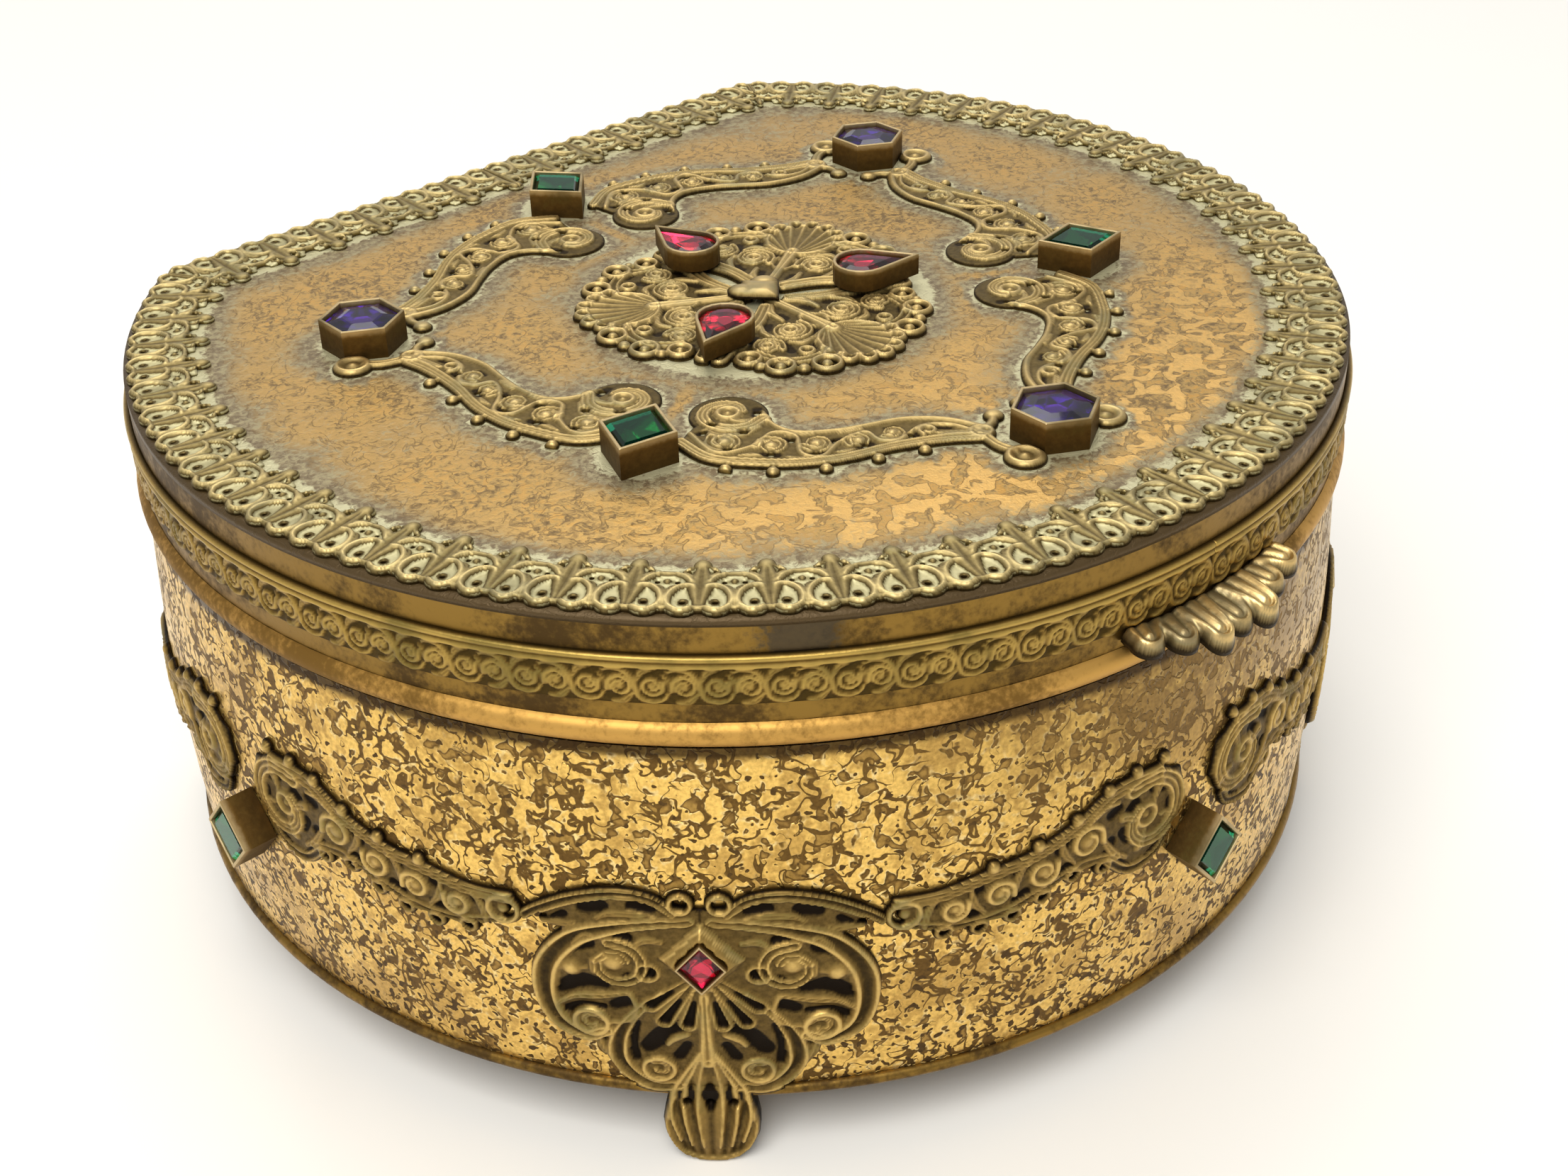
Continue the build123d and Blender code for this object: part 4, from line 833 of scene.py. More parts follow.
# Garlands and fans on the lid
garland = {"thick": 1, "cell": 0.2}
lidStones = {"violetRing": 53.2, "greenRing": 45.4, "redRing": 14.2, "hexagon": 5.6,
             "lozenge": (6.0, 5.0), "pear": (3.9, 8.1)}
garlandOuter = [(3.6, 41.6), (8.5, 44.4), (14.6, 43.8), (19.3, 42.4), (23.9, 39.8), (28.5, 35.8),
                (33.7, 32.4), (38, 30.6)]
garlandInner = [(10.6, 31.6), (13.2, 34.6), (16.4, 35.6), (20.4, 34.2), (24, 31.8), (28, 28.9),
                (33.1, 27.6), (38.5, 28.4)]
garlandStrokes = [
    ("area", garlandOuter + garlandInner[::-1] + [(4, 37.6)], 0.26), ("plate", 7, 33.3, 4.8, 0.7),
    pit(9, 42, 10.6, 41.6, 0.9, 1.2), pit(14.2, 41.6, 15.8, 41.3, 0.8, 1.1),
    pit(19.6, 40.2, 20.8, 39.4, 0.8, 1), pit(24.8, 36.8, 25.8, 35.8, 0.8, 0.9),
    pit(29.4, 32.9, 30.4, 32.2, 0.7, 0.9), pit(15.8, 37.5, 17, 37.4, 0.9, 0.9),
    pit(21, 36.6, 22, 35.6, 0.8, 0.8), pit(26.6, 31.6, 27.6, 31, 0.7, 0.8),
    pit(9.6, 37.6, 11, 36.6, 1, 1), pit(5.2, 39, 6, 38.2, 0.8, 0.9),
    pit(5, 36, 7.2, 36.9, 0.9, 1.3), pit(9.9, 30.9, 10.4, 32.6, 1, 1.2),
    pit(32.6, 29.6, 33.8, 29.3, 0.6, 0.6), ("double", garlandOuter, [1.5, 1.4, 1.4, 1.7], 0.95),
    ("wire", garlandInner, [0.9, 0.9, 1.2], 0.8),
    # running stem
    ("wire", [(4.2, 39.4), (8.6, 43), (12.3, 40.6), (13.7, 36.6), (16.6, 36.6), (18.6, 40.4), (21.2, 40.4),
              (22.2, 36.4), (24.4, 33.4), (26.6, 34.8), (29, 34), (30.4, 30.2), (33.6, 28.8), (37, 29.6)],
     [0.9, 0.7], 0.8),
    ("wire", curl(31.6, 30.9, 1.5, 0.6, 100, 1, 1.1), [0.8, 0.5], 0.85),
    ("leaf", [(33, 31.2), (35.4, 30.4), (38.6, 29.6)], [0.9, 1.2, 1], 0.8),
    ("leaf", [(11.6, 42.9), (13.2, 42.3), (14.4, 42.4)], [0.5, 1, 0.4], 0.75),
    ("leaf", [(17.2, 41.6), (18.4, 41.8), (19.4, 41.2)], [0.5, 1, 0.4], 0.75),
    ("leaf", [(22.6, 38.9), (23.6, 38.4), (24.4, 37.6)], [0.5, 1, 0.4], 0.75),
    ("leaf", [(15.4, 36.6), (17.2, 35.9), (18.8, 35.4)], [0.5, 0.9, 0.4], 0.75),
    ("leaf", [(21.4, 34.4), (22.8, 33.4), (24, 32.6)], [0.5, 0.9, 0.4], 0.75),
    # great scroll beside the stone, with an oval leaf in its eye
    ("double", curl(7, 33.3, 5.3, 1.5, 0, 1, 0.9), [1.7, 1.6, 1.1], 1), ("cup", 6.9, 33.3, 1.7, 0.95),
    ("leaf", [(7.9, 34.9), (9.6, 34.6), (10.4, 33.6)], [0.6, 1.1, 0.4], 0.8),
    ("leaf", [(5.6, 38.2), (7.6, 38.9), (10.2, 38), (11.6, 35.6)], [1, 1.3, 1], 0.75),
    # tail and the round button beside the six-sided stone
    ("cup", 37.8, 29.5, 1.7, 0.9), ("leaf", [(38, 29.8), (40.4, 32), (42.6, 32.9)], [1.6, 1.5, 1.6], 0.8),
    ("cup", 44.1, 33.8, 2.5, 0.95), ("wire", [(37.4, 29), (38.4, 27.2), (38.3, 25.4)], [1.5, 1.1], 0.8),
    ("boss", 38.2, 24.8, 1.2, 0.9),
]
# scrolls along the strip, each with a button in its eye
for x, y, r, width, start, hand, turns, widths, level, eye in (
        (8.9, 40.2, 2.5, 0.8, 200, -1, 1.2, [1, 0.8], 0.95, 0.8),
        (14.6, 39.6, 2.3, 0.8, 160, 1, 1.2, [1, 0.7], 0.95, 0.75),
        (19.6, 37.6, 2.1, 0.75, 140, -1, 1.2, [0.9, 0.7], 0.95, 0.7),
        (24.2, 35.6, 1.8, 0.7, 120, 1, 1.1, [0.9, 0.7], 0.9, 0.6),
        (27.6, 32.6, 1.8, 0.7, 120, -1, 1.1, [0.9, 0.6], 0.9, 0.6)):
    garlandStrokes += [("channel", curl(x, y, r, width, start, hand, turns), widths, level),
                       ("boss", x, y, eye, 0.9)]
for x, y, dx, dy in ((11, 44.6, 0, 1.2), (16.2, 43.6, 0.3, 1.2), (21.6, 41.3, 0.6, 1.1),
                     (26.6, 37.6, 0.8, 0.9), (31.6, 33.9, 0.6, 1.1)):
    garlandStrokes.append(("wire", [(x, y), (x + dx, y + dy)], [0.7, 0.7], 0.5))
    garlandStrokes.append(("boss", x + 1.3 * dx, y + 1.3 * dy, 0.75, 0.9))
for x, y, r in ((9.8, 41.8, 0.5), (15.1, 41.4, 0.45), (20.2, 39.8, 0.45), (25.3, 36.3, 0.42),
                (16.4, 37.5, 0.45), (21.5, 36.1, 0.4), (10.3, 37.2, 0.5), (5.6, 38.6, 0.45),
                (6, 36.5, 0.55), (10.2, 31.9, 0.5), (29.9, 32.5, 0.4)):
    garlandStrokes.append(("cut", x, y, r))
sixAt = (lidStones["violetRing"] * math.sin(third / 2), lidStones["violetRing"] * math.cos(third / 2))
sixTurn = Matrix.Rotation(-third / 2, 2)
sixCorners = [tuple(sixTurn @ Vector(c) + Vector(sixAt)) for c in hexagonCorners(5.75)]
garlandStrokes += [("cut", sixCorners), ("cut", [(x, y + lidStones["greenRing"]) for x, y in lozengeCorners(
    *lidStones["lozenge"], 0.15)])]

fans = {"thick": 1.2, "cell": 0.2}
fanStrokes = [
    ("area", [(0, 1.4), (2.4, 3.4), (8, 7.2), (14.4, 10.4), (14.2, 14), (12.2, 17.4), (8.6, 20), (0, 22)],
     0.16),
    pit(1.9, 6.4, 2.3, 7.6, 0.8, 1.1), pit(5.2, 7.6, 6.2, 8.4, 1, 1.2),
    pit(9, 9.2, 10.4, 9.6, 0.9, 1.1), pit(7.6, 13.6, 8.2, 15.4, 1.3, 1.1),
    pit(2, 12, 2, 14.4, 1, 1.4), pit(4.4, 16.2, 5.6, 16.6, 1.2, 1),
    pit(10.2, 16.8, 11, 16, 0.8, 0.8), pit(12.6, 11.6, 13.2, 12, 0.8, 0.8),
    # rings and buttons along the edge
    ("ring", 7.4, 21.3, 2.15, 1.35, 0.9), ("boss", 7.4, 21.3, 0.75, 0.8),
    ("ring", 12.3, 17.8, 2.15, 1.35, 0.9), ("boss", 12.3, 17.8, 0.75, 0.8),
    ("ring", 13.9, 13.4, 1.9, 1.15, 0.9), ("boss", 13.9, 13.4, 0.65, 0.8),
    ("boss", 10.4, 20.2, 0.85, 0.85), ("boss", 14.1, 15.9, 0.75, 0.85),
    ("channel", [(5, 19), (8.4, 18.8), (11.2, 16.8), (12.2, 12.8)], [1.1, 1.5, 1.1], 0.8),
    ("double", [(2.2, 3.4), (6.2, 6.2), (11, 8), (16.6, 10.8)], [1.7, 2.2, 2.4], 0.9),
    # inner scrolls with flower buttons
    ("channel", curl(4.6, 11.2, 3.1, 0.9, 200, -1, 1.3), [1.1, 0.8], 1), ("cup", 4.6, 11.2, 1.2, 0.95),
    ("channel", curl(9.9, 12.6, 2.5, 0.8, 120, 1, 1.2), [1, 0.7], 0.95), ("cup", 9.9, 12.6, 0.95, 0.95),
    ("ring", 7, 17, 1.25, 0.6, 0.85),
    ("leaf", [(1.2, 3.6), (2.9, 5.6), (3.2, 8.2)], [0.8, 1.2, 0.6], 0.85),
    ("leaf", [(6.4, 7.4), (7.6, 9.4), (7.4, 11.6)], [0.6, 1.1, 0.5], 0.8),
    ("leaf", [(3.4, 14.6), (5.6, 14.9), (6.9, 13.4)], [0.5, 1.1, 0.5], 0.8),
    ("leaf", [(10.6, 8.8), (11.8, 10.2), (13.2, 10.6)], [0.5, 1, 0.4], 0.75),
    ("leaf", [(0, 1.8), (0, 8), (0, 14.8)], [1.4, 1.3, 2.2], 0.95),
    ("wire", [(0.7, 8.6), (1.6, 10.4), (1.3, 12.4)], [0.5, 0.6], 0.7),
]


def shellForm(at):
    # the scalloped shell that ends the fan, with ribs from its root
    off = at - (0, 18.8)
    r = np.hypot(*off.T)
    gap = r - 5.2
    for i in range(4):
        tip = (5.4 * math.sin(math.radians(26 * i)), 5.4 * math.cos(math.radians(26 * i)))
        gap = np.minimum(gap, np.hypot(*(off - tip).T) - 1.3)
    turn = np.degrees(np.arctan2(off[:, 0], off[:, 1] + 5.5))
    ribs = bell(np.abs(turn) % 11 - 5.5, 1.9)
    rim = bell(gap + 0.35, 0.3)
    eyes = np.zeros(len(at))
    for i in range(4):
        tip = (5.3 * math.sin(math.radians(26 * i)), 5.3 * math.cos(math.radians(26 * i)))
        eyes = np.maximum(eyes, np.exp(-(np.hypot(*(off - tip).T) / 0.55) ** 4))
    return gap, np.maximum(0.28 + 0.5 * ribs * np.clip(r / 4, 0.5, 1), 0.95 * rim) * (1 - 0.85 * eyes)


fanStrokes.append(("form", shellForm))


def fanField(at):
    at = mirrorX(at)
    gap, rise = strokeField(at, fanStrokes, 0.14)
    # each fan fills one third of the circle
    side = (at[:, 0] * math.cos(third / 2) - at[:, 1] * math.sin(third / 2)) + 0.15
    return np.maximum(gap, side), rise


lidAngles = {"rear": math.pi / 2, "front_right": math.pi / 2 - third, "front_left": math.pi / 2 + third}
sixAngles = {"front": -math.pi / 2, "rear_right": third - math.pi / 2, "rear_left": 2 * third - math.pi / 2}
garlandSheet = mirrored(reliefSheet(lambda at: strokeField(at, garlandStrokes, 0.14), (1, 23, 47.2, 46.4),
                                    garland["cell"], garland["thick"], under=0.2))
for name, angle in lidAngles.items():
    makePiece("garland" + name.title().replace("_", ""), garlandSheet.copy(), lambda co: ontoLid(co, angle),
              filigreeGold, "lid", ["garland_" + name])
garlandSheet.free()
fanSheet = reliefSheet(fanField, (-18.2, 0.4, 18.2, 25.8), fans["cell"], fans["thick"], under=0.2)
for name, angle in sixAngles.items():
    makePiece("fan" + name.title().replace("_", ""), fanSheet.copy(), lambda co: ontoLid(co, angle),
              filigreeGold, "lid", ["fan_" + name])
fanSheet.free()
print("garlands and fans stamped")


# Pierced border round the lid, 64 repeats in two strips
border = {"thick": 1.1, "count": 64, "cell": 0.26, "edge": 0.35, "inner": 9.2}
borderPitch = 2 * halfWay / border["count"]
borderStrokes = []
for shift in (-borderPitch, 0, borderPitch):
    for side in (-1, 1):
        borderStrokes += [
            # loop round the eye, from the body's shoulder to the lid's edge
            ("wire", [(shift + side * x, y) for x, y in ((0.7, -5.4), (1.9, -5.6), (3.1, -4.6), (3.6, -3),
                                                         (3.2, -1.5), (2, -0.75), (0.8, -1.3))],
             [0.7, 1, 0.9], 0.95),
            ("boss", shift + side * 1.75, -2.6, 0.72, 0.42),
            # shoulder, and the arch that springs across to the next repeat
            ("wire", [(shift + side * x, y) for x, y in ((1.1, -6.4), (2, -7.4), (3, -7.9),
                                                         (borderPitch / 2, -8))], [0.9, 0.8, 0.7], 0.85),
            ("wire", [(shift + side * x, y) for x, y in ((1.2, -7.2), (1.9, -8.4), (1.3, -9.3))],
             [0.8, 0.8], 0.8),
            ("wire", [(shift + side * x, y) for x, y in ((2.9, -5.6), (3.5, -5.2), (borderPitch / 2, -3.6),
                                                         (borderPitch / 2, -1))], [0.6, 0.6, 0.5], 0.6),
        ]
    borderStrokes += [
        ("leaf", [(shift, -9.2), (shift, -7.4), (shift, -5.2), (shift, -3), (shift, -1.2)],
         [1.6, 2.8, 3.3, 2, 1], 0.62),
        ("boss", shift, -9.9, 1.15, 0.7), ("boss", shift + borderPitch / 2, -6.6, 0.5, 0.6),
    ]


def borderField(at):
    x = wrapped(at[:, 0], borderPitch)
    _, rise = strokeField(np.stack([x, at[:, 1]], 1), borderStrokes)
    across = np.abs(x)
    # band with a scalloped outer edge, two scallops to a repeat, and finials on the inner edge
    gap = np.maximum(at[:, 1] + 1.1, -border["inner"] - at[:, 1])
    gap = np.minimum(gap, np.hypot(across - 1.9, at[:, 1] + 2.3) - 2.3 + border["edge"])
    gap = np.minimum(gap, np.hypot(across, at[:, 1] + 9.9) - 1.2)
    rim = bell(gap + 0.3, 0.25) * (at[:, 1] > -2.2)
    rise = np.maximum(rise, 0.75 * rim)
    # eyes, the pairs beside the finials and the spandrels
    for cx, cy, r in ((1.8, -2.55, 0.42), (1.6, -8.35, 0.46), (borderPitch / 2 - 0.1, -9.1, 1),
                      (2.75, -6.7, 0.36)):
        gap = np.maximum(gap, r - np.hypot(across - cx, at[:, 1] - cy))
    return gap, rise


def borderPlace(co):
    return atStation(co[:, 0], co[:, 1], co[:, 2] + outline["plateTop"])


def rollStrip(name, look, field, rows, place, finish, node, ground=0.3, under=0.0):
    # a strip round the whole outline, as two halves that meet at the front and the back
    for side, word, first, last in ((1, "right", 0, halfWay), (-1, "left", -halfWay, 0)):
        def half(at):
            gap, rise = field(at)
            return np.maximum(gap, np.abs(side * at[:, 0] - halfWay / 2) - halfWay / 2), rise
        area = (first - look["cell"], rows[0], last + look["cell"], rows[1])
        sheet = reliefSheet(half, area, look["cell"], look["thick"], ground, under)
        makePiece(name + "_" + word, sheet, place, finish, "lid", [node])


rollStrip("pierced_border", border, borderField, (-11.4, 0.2), borderPlace, borderGold, "lid_border",
          under=0.3)
print("border stamped")


# Frieze round the lid's band, repeated scrolls under two fillets
frieze = {"low": low("lid_frieze")[2], "high": high("lid_frieze")[2], "thick": 0.85, "count": 72,
          "cell": 0.27}
friezePitch = 2 * halfWay / frieze["count"]
friezeStrokes = [
    ("wire", curl(-1.7, 2.4, 1.75, 0.55, 200, -1, 1.4), [0.75, 0.5], 1), ("boss", -1.7, 2.4, 0.55, 0.9),
    ("wire", curl(1.8, 2.5, 1.6, 0.55, 20, -1, 1.3), [0.7, 0.5], 1), ("boss", 1.8, 2.5, 0.5, 0.9),
    ("wire", [(-3.5, 4.3), (-2.6, 4.6), (-1, 4.2), (-0.1, 2.8), (0.4, 1), (1.8, 0.4), (3, 0.7), (3.5, 1.4)],
     [0.5, 0.8, 0.8, 0.5], 0.9),
    ("leaf", [(0.2, 3.2), (0.8, 4.3), (2.2, 4.7)], [0.5, 1, 0.4], 0.85),
    ("leaf", [(-0.2, 1.6), (-1.2, 0.5), (-2.6, 0.3)], [0.5, 1, 0.4], 0.85),
    ("leaf", [(3, 3.9), (3.6, 3), (3.6, 2)], [0.4, 0.8, 0.4], 0.75),
]
friezeStrokes += [moved(stroke, lambda x, y: (x + shift, y)) for shift in (-friezePitch, friezePitch)
                  for stroke in friezeStrokes]


def friezeField(at):
    up = at[:, 1] - frieze["low"]
    _, rise = strokeField(np.stack([wrapped(at[:, 0], friezePitch), up], 1), friezeStrokes)
    tall = frieze["high"] - frieze["low"]
    fillets = np.maximum(profiles["wire"](np.minimum(np.abs(up - tall + 0.45) / 0.45, 1)),
                         profiles["wire"](np.minimum(np.abs(up - tall + 1.35) / 0.4, 1)))
    gap = np.abs(up - tall / 2) - tall / 2
    return gap, np.maximum(0.85 * rise, fillets)


def onSeam(s):
    # the two ends meet without crossing
    return np.clip(s, -halfWay + 0.001, halfWay - 0.001)


def friezePlace(co):
    return atStation(onSeam(co[:, 0]), co[:, 2] + outline["solder"], co[:, 1])


rollStrip("scroll_frieze", frieze, friezeField, (frieze["low"] - 0.1, frieze["high"] + 0.1), friezePlace,
          friezeGold, "lid_frieze", 0.25)
print("frieze rolled")


# Thumb piece: a leaf of ribbed lobes at the front
thumb = {"reach": 8.0, "half": 15.0, "lobe": 2.8, "fall": 3.4, "droop": 12.0, "lift": 4.0, "thick": 2.4,
         "cell": 0.22, "curl": 1.3, "level": (0.85, 0.72, 0.95, 0.7, 1.0, 0.75, 0.9),
         "short": (0.5, 0.6, -0.3, 0.7, -0.35, 1.0, 0.4)}


def thumbField(at):
    gap = np.full(len(at), 9.0)
    rise = np.zeros(len(at))
    for i in (-2, 0, 2, -3, -1, 1, 3):
        share = i / 3
        tipX = share * (thumb["half"] - thumb["lobe"])
        tipY = thumb["lobe"] - thumb["reach"] + thumb["fall"] * share ** 2 + thumb["short"][i + 3]
        line = smoothLine([(tipX * 0.7, thumb["lobe"] + 1.0), (tipX * 0.92, (tipY + thumb["lobe"]) / 2),
                           (tipX, tipY)])
        away, along = lineGap(at, line)
        half = thumb["lobe"] * (1.05 - 0.3 * along ** 2)
        u = away / half
        # a middle rib and two rims with hollows between, each lobe at its own level and over the next
        rib = np.abs(np.cos(math.pi * 1.42 * unit(u))) ** 0.8
        shape = thumb["level"][i + 3] * (0.42 + 0.24 * along + (0.12 + 0.3 * along) * rib)
        rise = np.where(u < 1, shape, rise)
        gap = np.minimum(gap, away - half)
    rise = rise * unit(-gap / 0.6) ** 0.5
    clear = outline["wallR"] + outline["solder"] - dotGap(at, 0, outline["wallR"])
    return np.maximum(gap, clear), rise


def thumbPlace(co):
    droop = math.radians(thumb["droop"])
    co = co - np.outer(unit((-co[:, 1] - 3.5) / 4.5) ** 2 * thumb["curl"], (0, 0, 1))
    y, z = turned(co[:, 1:], droop)
    return np.stack([co[:, 0], y - outline["wallR"] + outline["centreY"],
                     z + outline["lidLow"] + thumb["lift"]], 1)


sheet = reliefSheet(thumbField, (-15.2, -8.2, 15.2, 4.0), thumb["cell"], thumb["thick"], 0.2)
makePiece("leaf_thumb_piece", sheet, thumbPlace, thumbGold, "lid", ["thumb_piece"])


# Heart over the middle of the fans
def heartField(at):
    # a lozenge with two round lobes
    gap = areaGap(at, lozengeCorners(3.9, 3.5))
    for x in (2.0, -2.0):
        gap = np.minimum(gap, dotGap(at, x, 1.4) - 2.0)
    return gap, unit(-gap / 1.6) ** 0.6


sheet = reliefSheet(heartField, (-4.3, -4.3, 4.3, 4.3), 0.2, 0.9, 0.35)
makePiece("heart", sheet, lambda co: ontoLid(co, math.pi / 2, 1.2), filigreeGold, "lid",
          ["heart_plate"])
print("thumb piece and heart shaped")


# Lining: a pad on the base, covered card round the wall and a pad under the lid
lining = {"card": 1.2, "padEdge": -2.8, "padThick": 3.4, "lidEdge": -1.0, "lidThick": 3.0,
          "cell": 1.1, "quilt": 17.0}


def quiltedField(edge):
    # puffed between its sewn diamonds, falling away at the rim
    def field(at):
        gap = planGap(at, edge)
        a = (at[:, 0] + at[:, 1]) / lining["quilt"] * math.pi
        b = (at[:, 0] - at[:, 1]) / lining["quilt"] * math.pi
        puff = np.minimum(np.abs(np.sin(a)), np.abs(np.sin(b))) ** 0.5
        fold = 0.06 * np.sin(3 * a + 2 * np.sin(b)) * unit(1 - puff)
        return gap, unit(-gap / 4.0) ** 0.5 * (0.62 + 0.38 * puff + fold)
    return field


for name, node, edge, thick, faces in (
        ("base_cushion", "base_pad", lining["padEdge"], lining["padThick"], 1),
        ("lid_cushion", "lid_pad", lining["lidEdge"], lining["lidThick"], -1)):
    seat = low(node)[2] if faces > 0 else high(node)[2]
    area = (-81.5, outline["centreY"] - 81.5, 81.5, outline["centreY"] + 61.0)
    sheet = reliefSheet(quiltedField(edge), area, lining["cell"], thick, 0.12)
    pad = makePiece(name, sheet, lambda co: co * (1, 1, faces) + (0, 0, seat), creamSatin,
                    "box" if faces > 0 else "lid", [node])
    if faces < 0:
        pad.data.flip_normals()


def liningField(at):
    tall = high("wall_lining")[2] - low("wall_lining")[2]
    up = at[:, 1] - low("wall_lining")[2]
    pleat = 0.5 + 0.5 * np.sin(at[:, 0] * 2 * math.pi / 4.4 + 0.5 * np.sin(up / 9))
    ends = unit(np.minimum(up, tall - up) / 2.5) ** 0.5
    gap = np.maximum(np.abs(up - tall / 2) - tall / 2, np.abs(at[:, 0]) - halfWay)
    return gap, ends * (0.6 + 0.4 * pleat)


def liningPlace(co):
    return atStation(onSeam(co[:, 0]), swell(co[:, 1]) - 1.3 - co[:, 2], co[:, 1])


area = (-halfWay - 0.4, low("wall_lining")[2] - 0.2, halfWay + 0.4, high("wall_lining")[2] + 0.2)
sheet = reliefSheet(liningField, area, lining["cell"], lining["card"], 0.3)
cloth = makePiece("satin_lining", sheet, liningPlace, creamSatin, "box", ["wall_lining"])
cloth.data.flip_normals()
print("lining sewn")


# Settings and stones
def pulled(bm, face, rise, share=1):
    # the face that this one becomes, pulled out and scaled
    grown = bmesh.ops.extrude_face_region(bm, geom=[face])["geom"]
    new = next(f for f in grown if isinstance(f, bmesh.types.BMFace))
    bmesh.ops.translate(bm, vec=(0, 0, rise), verts=new.verts)
    bmesh.ops.scale(bm, vec=(share, share, 1), verts=new.verts)
    return new


stones = {"wall": 0.42, "footWall": 0.22, "fit": 0.05, "lidHeight": 4.2, "floor": 0.5, "crown": 0.6,
          "girdle": 0.3, "sunk": 0.12, "culet": 0.3, "table": {"violet": 0.52, "green": 0.78, "red": 0.6}}


def cupShape(corners, height, wall):
    # box setting bent up from sheet: straight sides, a flat rim and a sunk floor
    bm = bmesh.new()
    wearAndShade = bm.verts.layers.float.new("wearAndShade")
    top = pulled(bm, bm.faces.new([bm.verts.new((x, y, 0)) for x, y in corners]), height)
    bmesh.ops.inset_region(bm, faces=[top], thickness=wall, use_even_offset=True)
    pulled(bm, top, stones["floor"] - height)
    if top.is_valid:
        bmesh.ops.delete(bm, geom=[top], context="FACES_ONLY")
    rim = [e for e in bm.edges if all(v.co.z > height - 0.01 for v in e.verts)]
    bmesh.ops.bevel(bm, geom=rim, offset=0.12, offset_type="OFFSET", segments=2, profile=0.5,
                    affect="EDGES", material=-1)
    upright = [e for e in bm.edges if abs(e.verts[0].co.z - e.verts[1].co.z) > height / 2]
    bmesh.ops.subdivide_edges(bm, edges=upright, cuts=3, use_grid_fill=True)
    for v in bm.verts:
        v.co.z = min(v.co.z, height)
        # the rim is bright, and the sides darken towards their foot as painted shade
        v[wearAndShade] = 0.95 if v.co.z > height - 0.2 else 0.15 + 0.3 * max(v.co.z, 0) / height
    bmesh.ops.recalc_face_normals(bm, faces=bm.faces)
    return bm


def stoneShape(corners, height, table):
    # step-cut crown above the girdle, and a pavilion of facets on foil below it
    bm = bmesh.new()
    waist = height - stones["sunk"] - stones["crown"] - stones["girdle"]
    face = bm.faces.new([bm.verts.new((x, y, waist)) for x, y in corners])
    for rise, share in ((stones["girdle"], 1), (stones["crown"], table)):
        face = pulled(bm, face, rise, share)
    under = min(bm.faces, key=lambda f: f.calc_center_median().z)
    for depth, share in ((0.45, 0.72), (0.55, stones["culet"] / 0.72)):
        new = pulled(bm, under, -depth * (waist - stones["floor"] - stones["fit"]), share)
        if under.is_valid:
            bmesh.ops.delete(bm, geom=[under], context="FACES_ONLY")
        bmesh.ops.rotate(bm, cent=(0, 0, 0), matrix=Matrix.Rotation(math.pi / len(corners), 3, "Z"),
                         verts=new.verts)
        under = new
    bmesh.ops.triangulate(bm, faces=[f for f in bm.faces if f.calc_center_median().z < waist
                                     and len(f.verts) == 4])
    bmesh.ops.recalc_face_normals(bm, faces=bm.faces)
    for f in bm.faces:
        f.material_index = 1 if f.calc_center_median().z < waist - 0.01 else 0
    return bm


def inSeat(seat):
    turn = np.array(seat)
    return lambda co: co @ turn[:3, :3].T + turn[:3, 3]


def shrink(corners, by, reach):
    return [(x * (1 - by / reach), y * (1 - by / reach)) for x, y in corners]


def setStone(name, corners, reach, height, seat, tint, body, nodes, wall=stones["wall"]):
    # places the stone and returns its setting
    stone = stoneShape(shrink(corners, wall + stones["fit"], reach), height, stones["table"][tint])
    makePiece(name + "_stone", stone, inSeat(seat), glass[tint], body, nodes[1:], smooth=False)
    return cupShape(corners, height, wall)


def lozengeReach(a, b):
    # from the middle of a lozenge to its sides
    return a * b / math.hypot(a, b)


kinds = (
    ("violet", hexagonCorners(lidStones["hexagon"]), lidStones["hexagon"] * math.cos(math.pi / 6),
     lidStones["violetRing"], sixAngles, 0.0),
    ("green", lozengeCorners(*lidStones["lozenge"]), lozengeReach(*lidStones["lozenge"]),
     lidStones["greenRing"], lidAngles, 0.0),
    ("red", pearCorners(*lidStones["pear"]), lidStones["pear"][0], lidStones["redRing"], lidAngles,
     fans["thick"]),
)
for tint, corners, reach, radius, angles, lift in kinds:
    for name, angle in angles.items():
        seat = lidSeat(radius, angle, outline["plateTop"] + lift)
        nodes = [tint + "_setting_" + name, tint + "_stone_" + name]
        cup = setStone(tint + "_" + name, corners, reach, stones["lidHeight"] - lift, seat, tint, "lid",
                       nodes)
        makePiece(tint + "_" + name + "_setting", cup, inSeat(seat), settingBronze, "lid",
                  nodes[:1], smooth=False)


def wallStones(group, a, b, height, depth, offset, places, tint, wall):
    # stones on the wall; their settings are one node
    cups = bmesh.new()
    for name, s0 in places:
        seat = wallSeat(s0, height, offset)
        cup = setStone(group + "_" + name, lozengeCorners(a, b), lozengeReach(a, b), depth, seat, tint,
                       "box", [None, group + "_stone_" + name], wall)
        bmesh.ops.transform(cup, matrix=seat, verts=cup.verts)
        part = bpy.data.meshes.new("part")
        cup.to_mesh(part)
        cup.free()
        cups.from_mesh(part)
        bpy.data.meshes.remove(part)
    makePiece(group + "_settings_cups", cups, lambda co: co, settingBronze, "box",
              [group + "_settings"], smooth=False)


wallStones("foot", feet["rubyA"], feet["rubyB"], feet["rubyH"], feet["rubyDepth"], feet["rubyOut"],
           (("front_left", -feet["at"][0]), ("front_right", feet["at"][0]), ("rear_right", feet["at"][1]),
            ("rear_left", -feet["at"][1])), "red", stones["footWall"])
wallStones("wall", swags["stoneA"], swags["stoneB"], swags["stoneH"], 4.6, 1.25,
           wallPlaces.items(), "green", stones["wall"])
print("stones set")


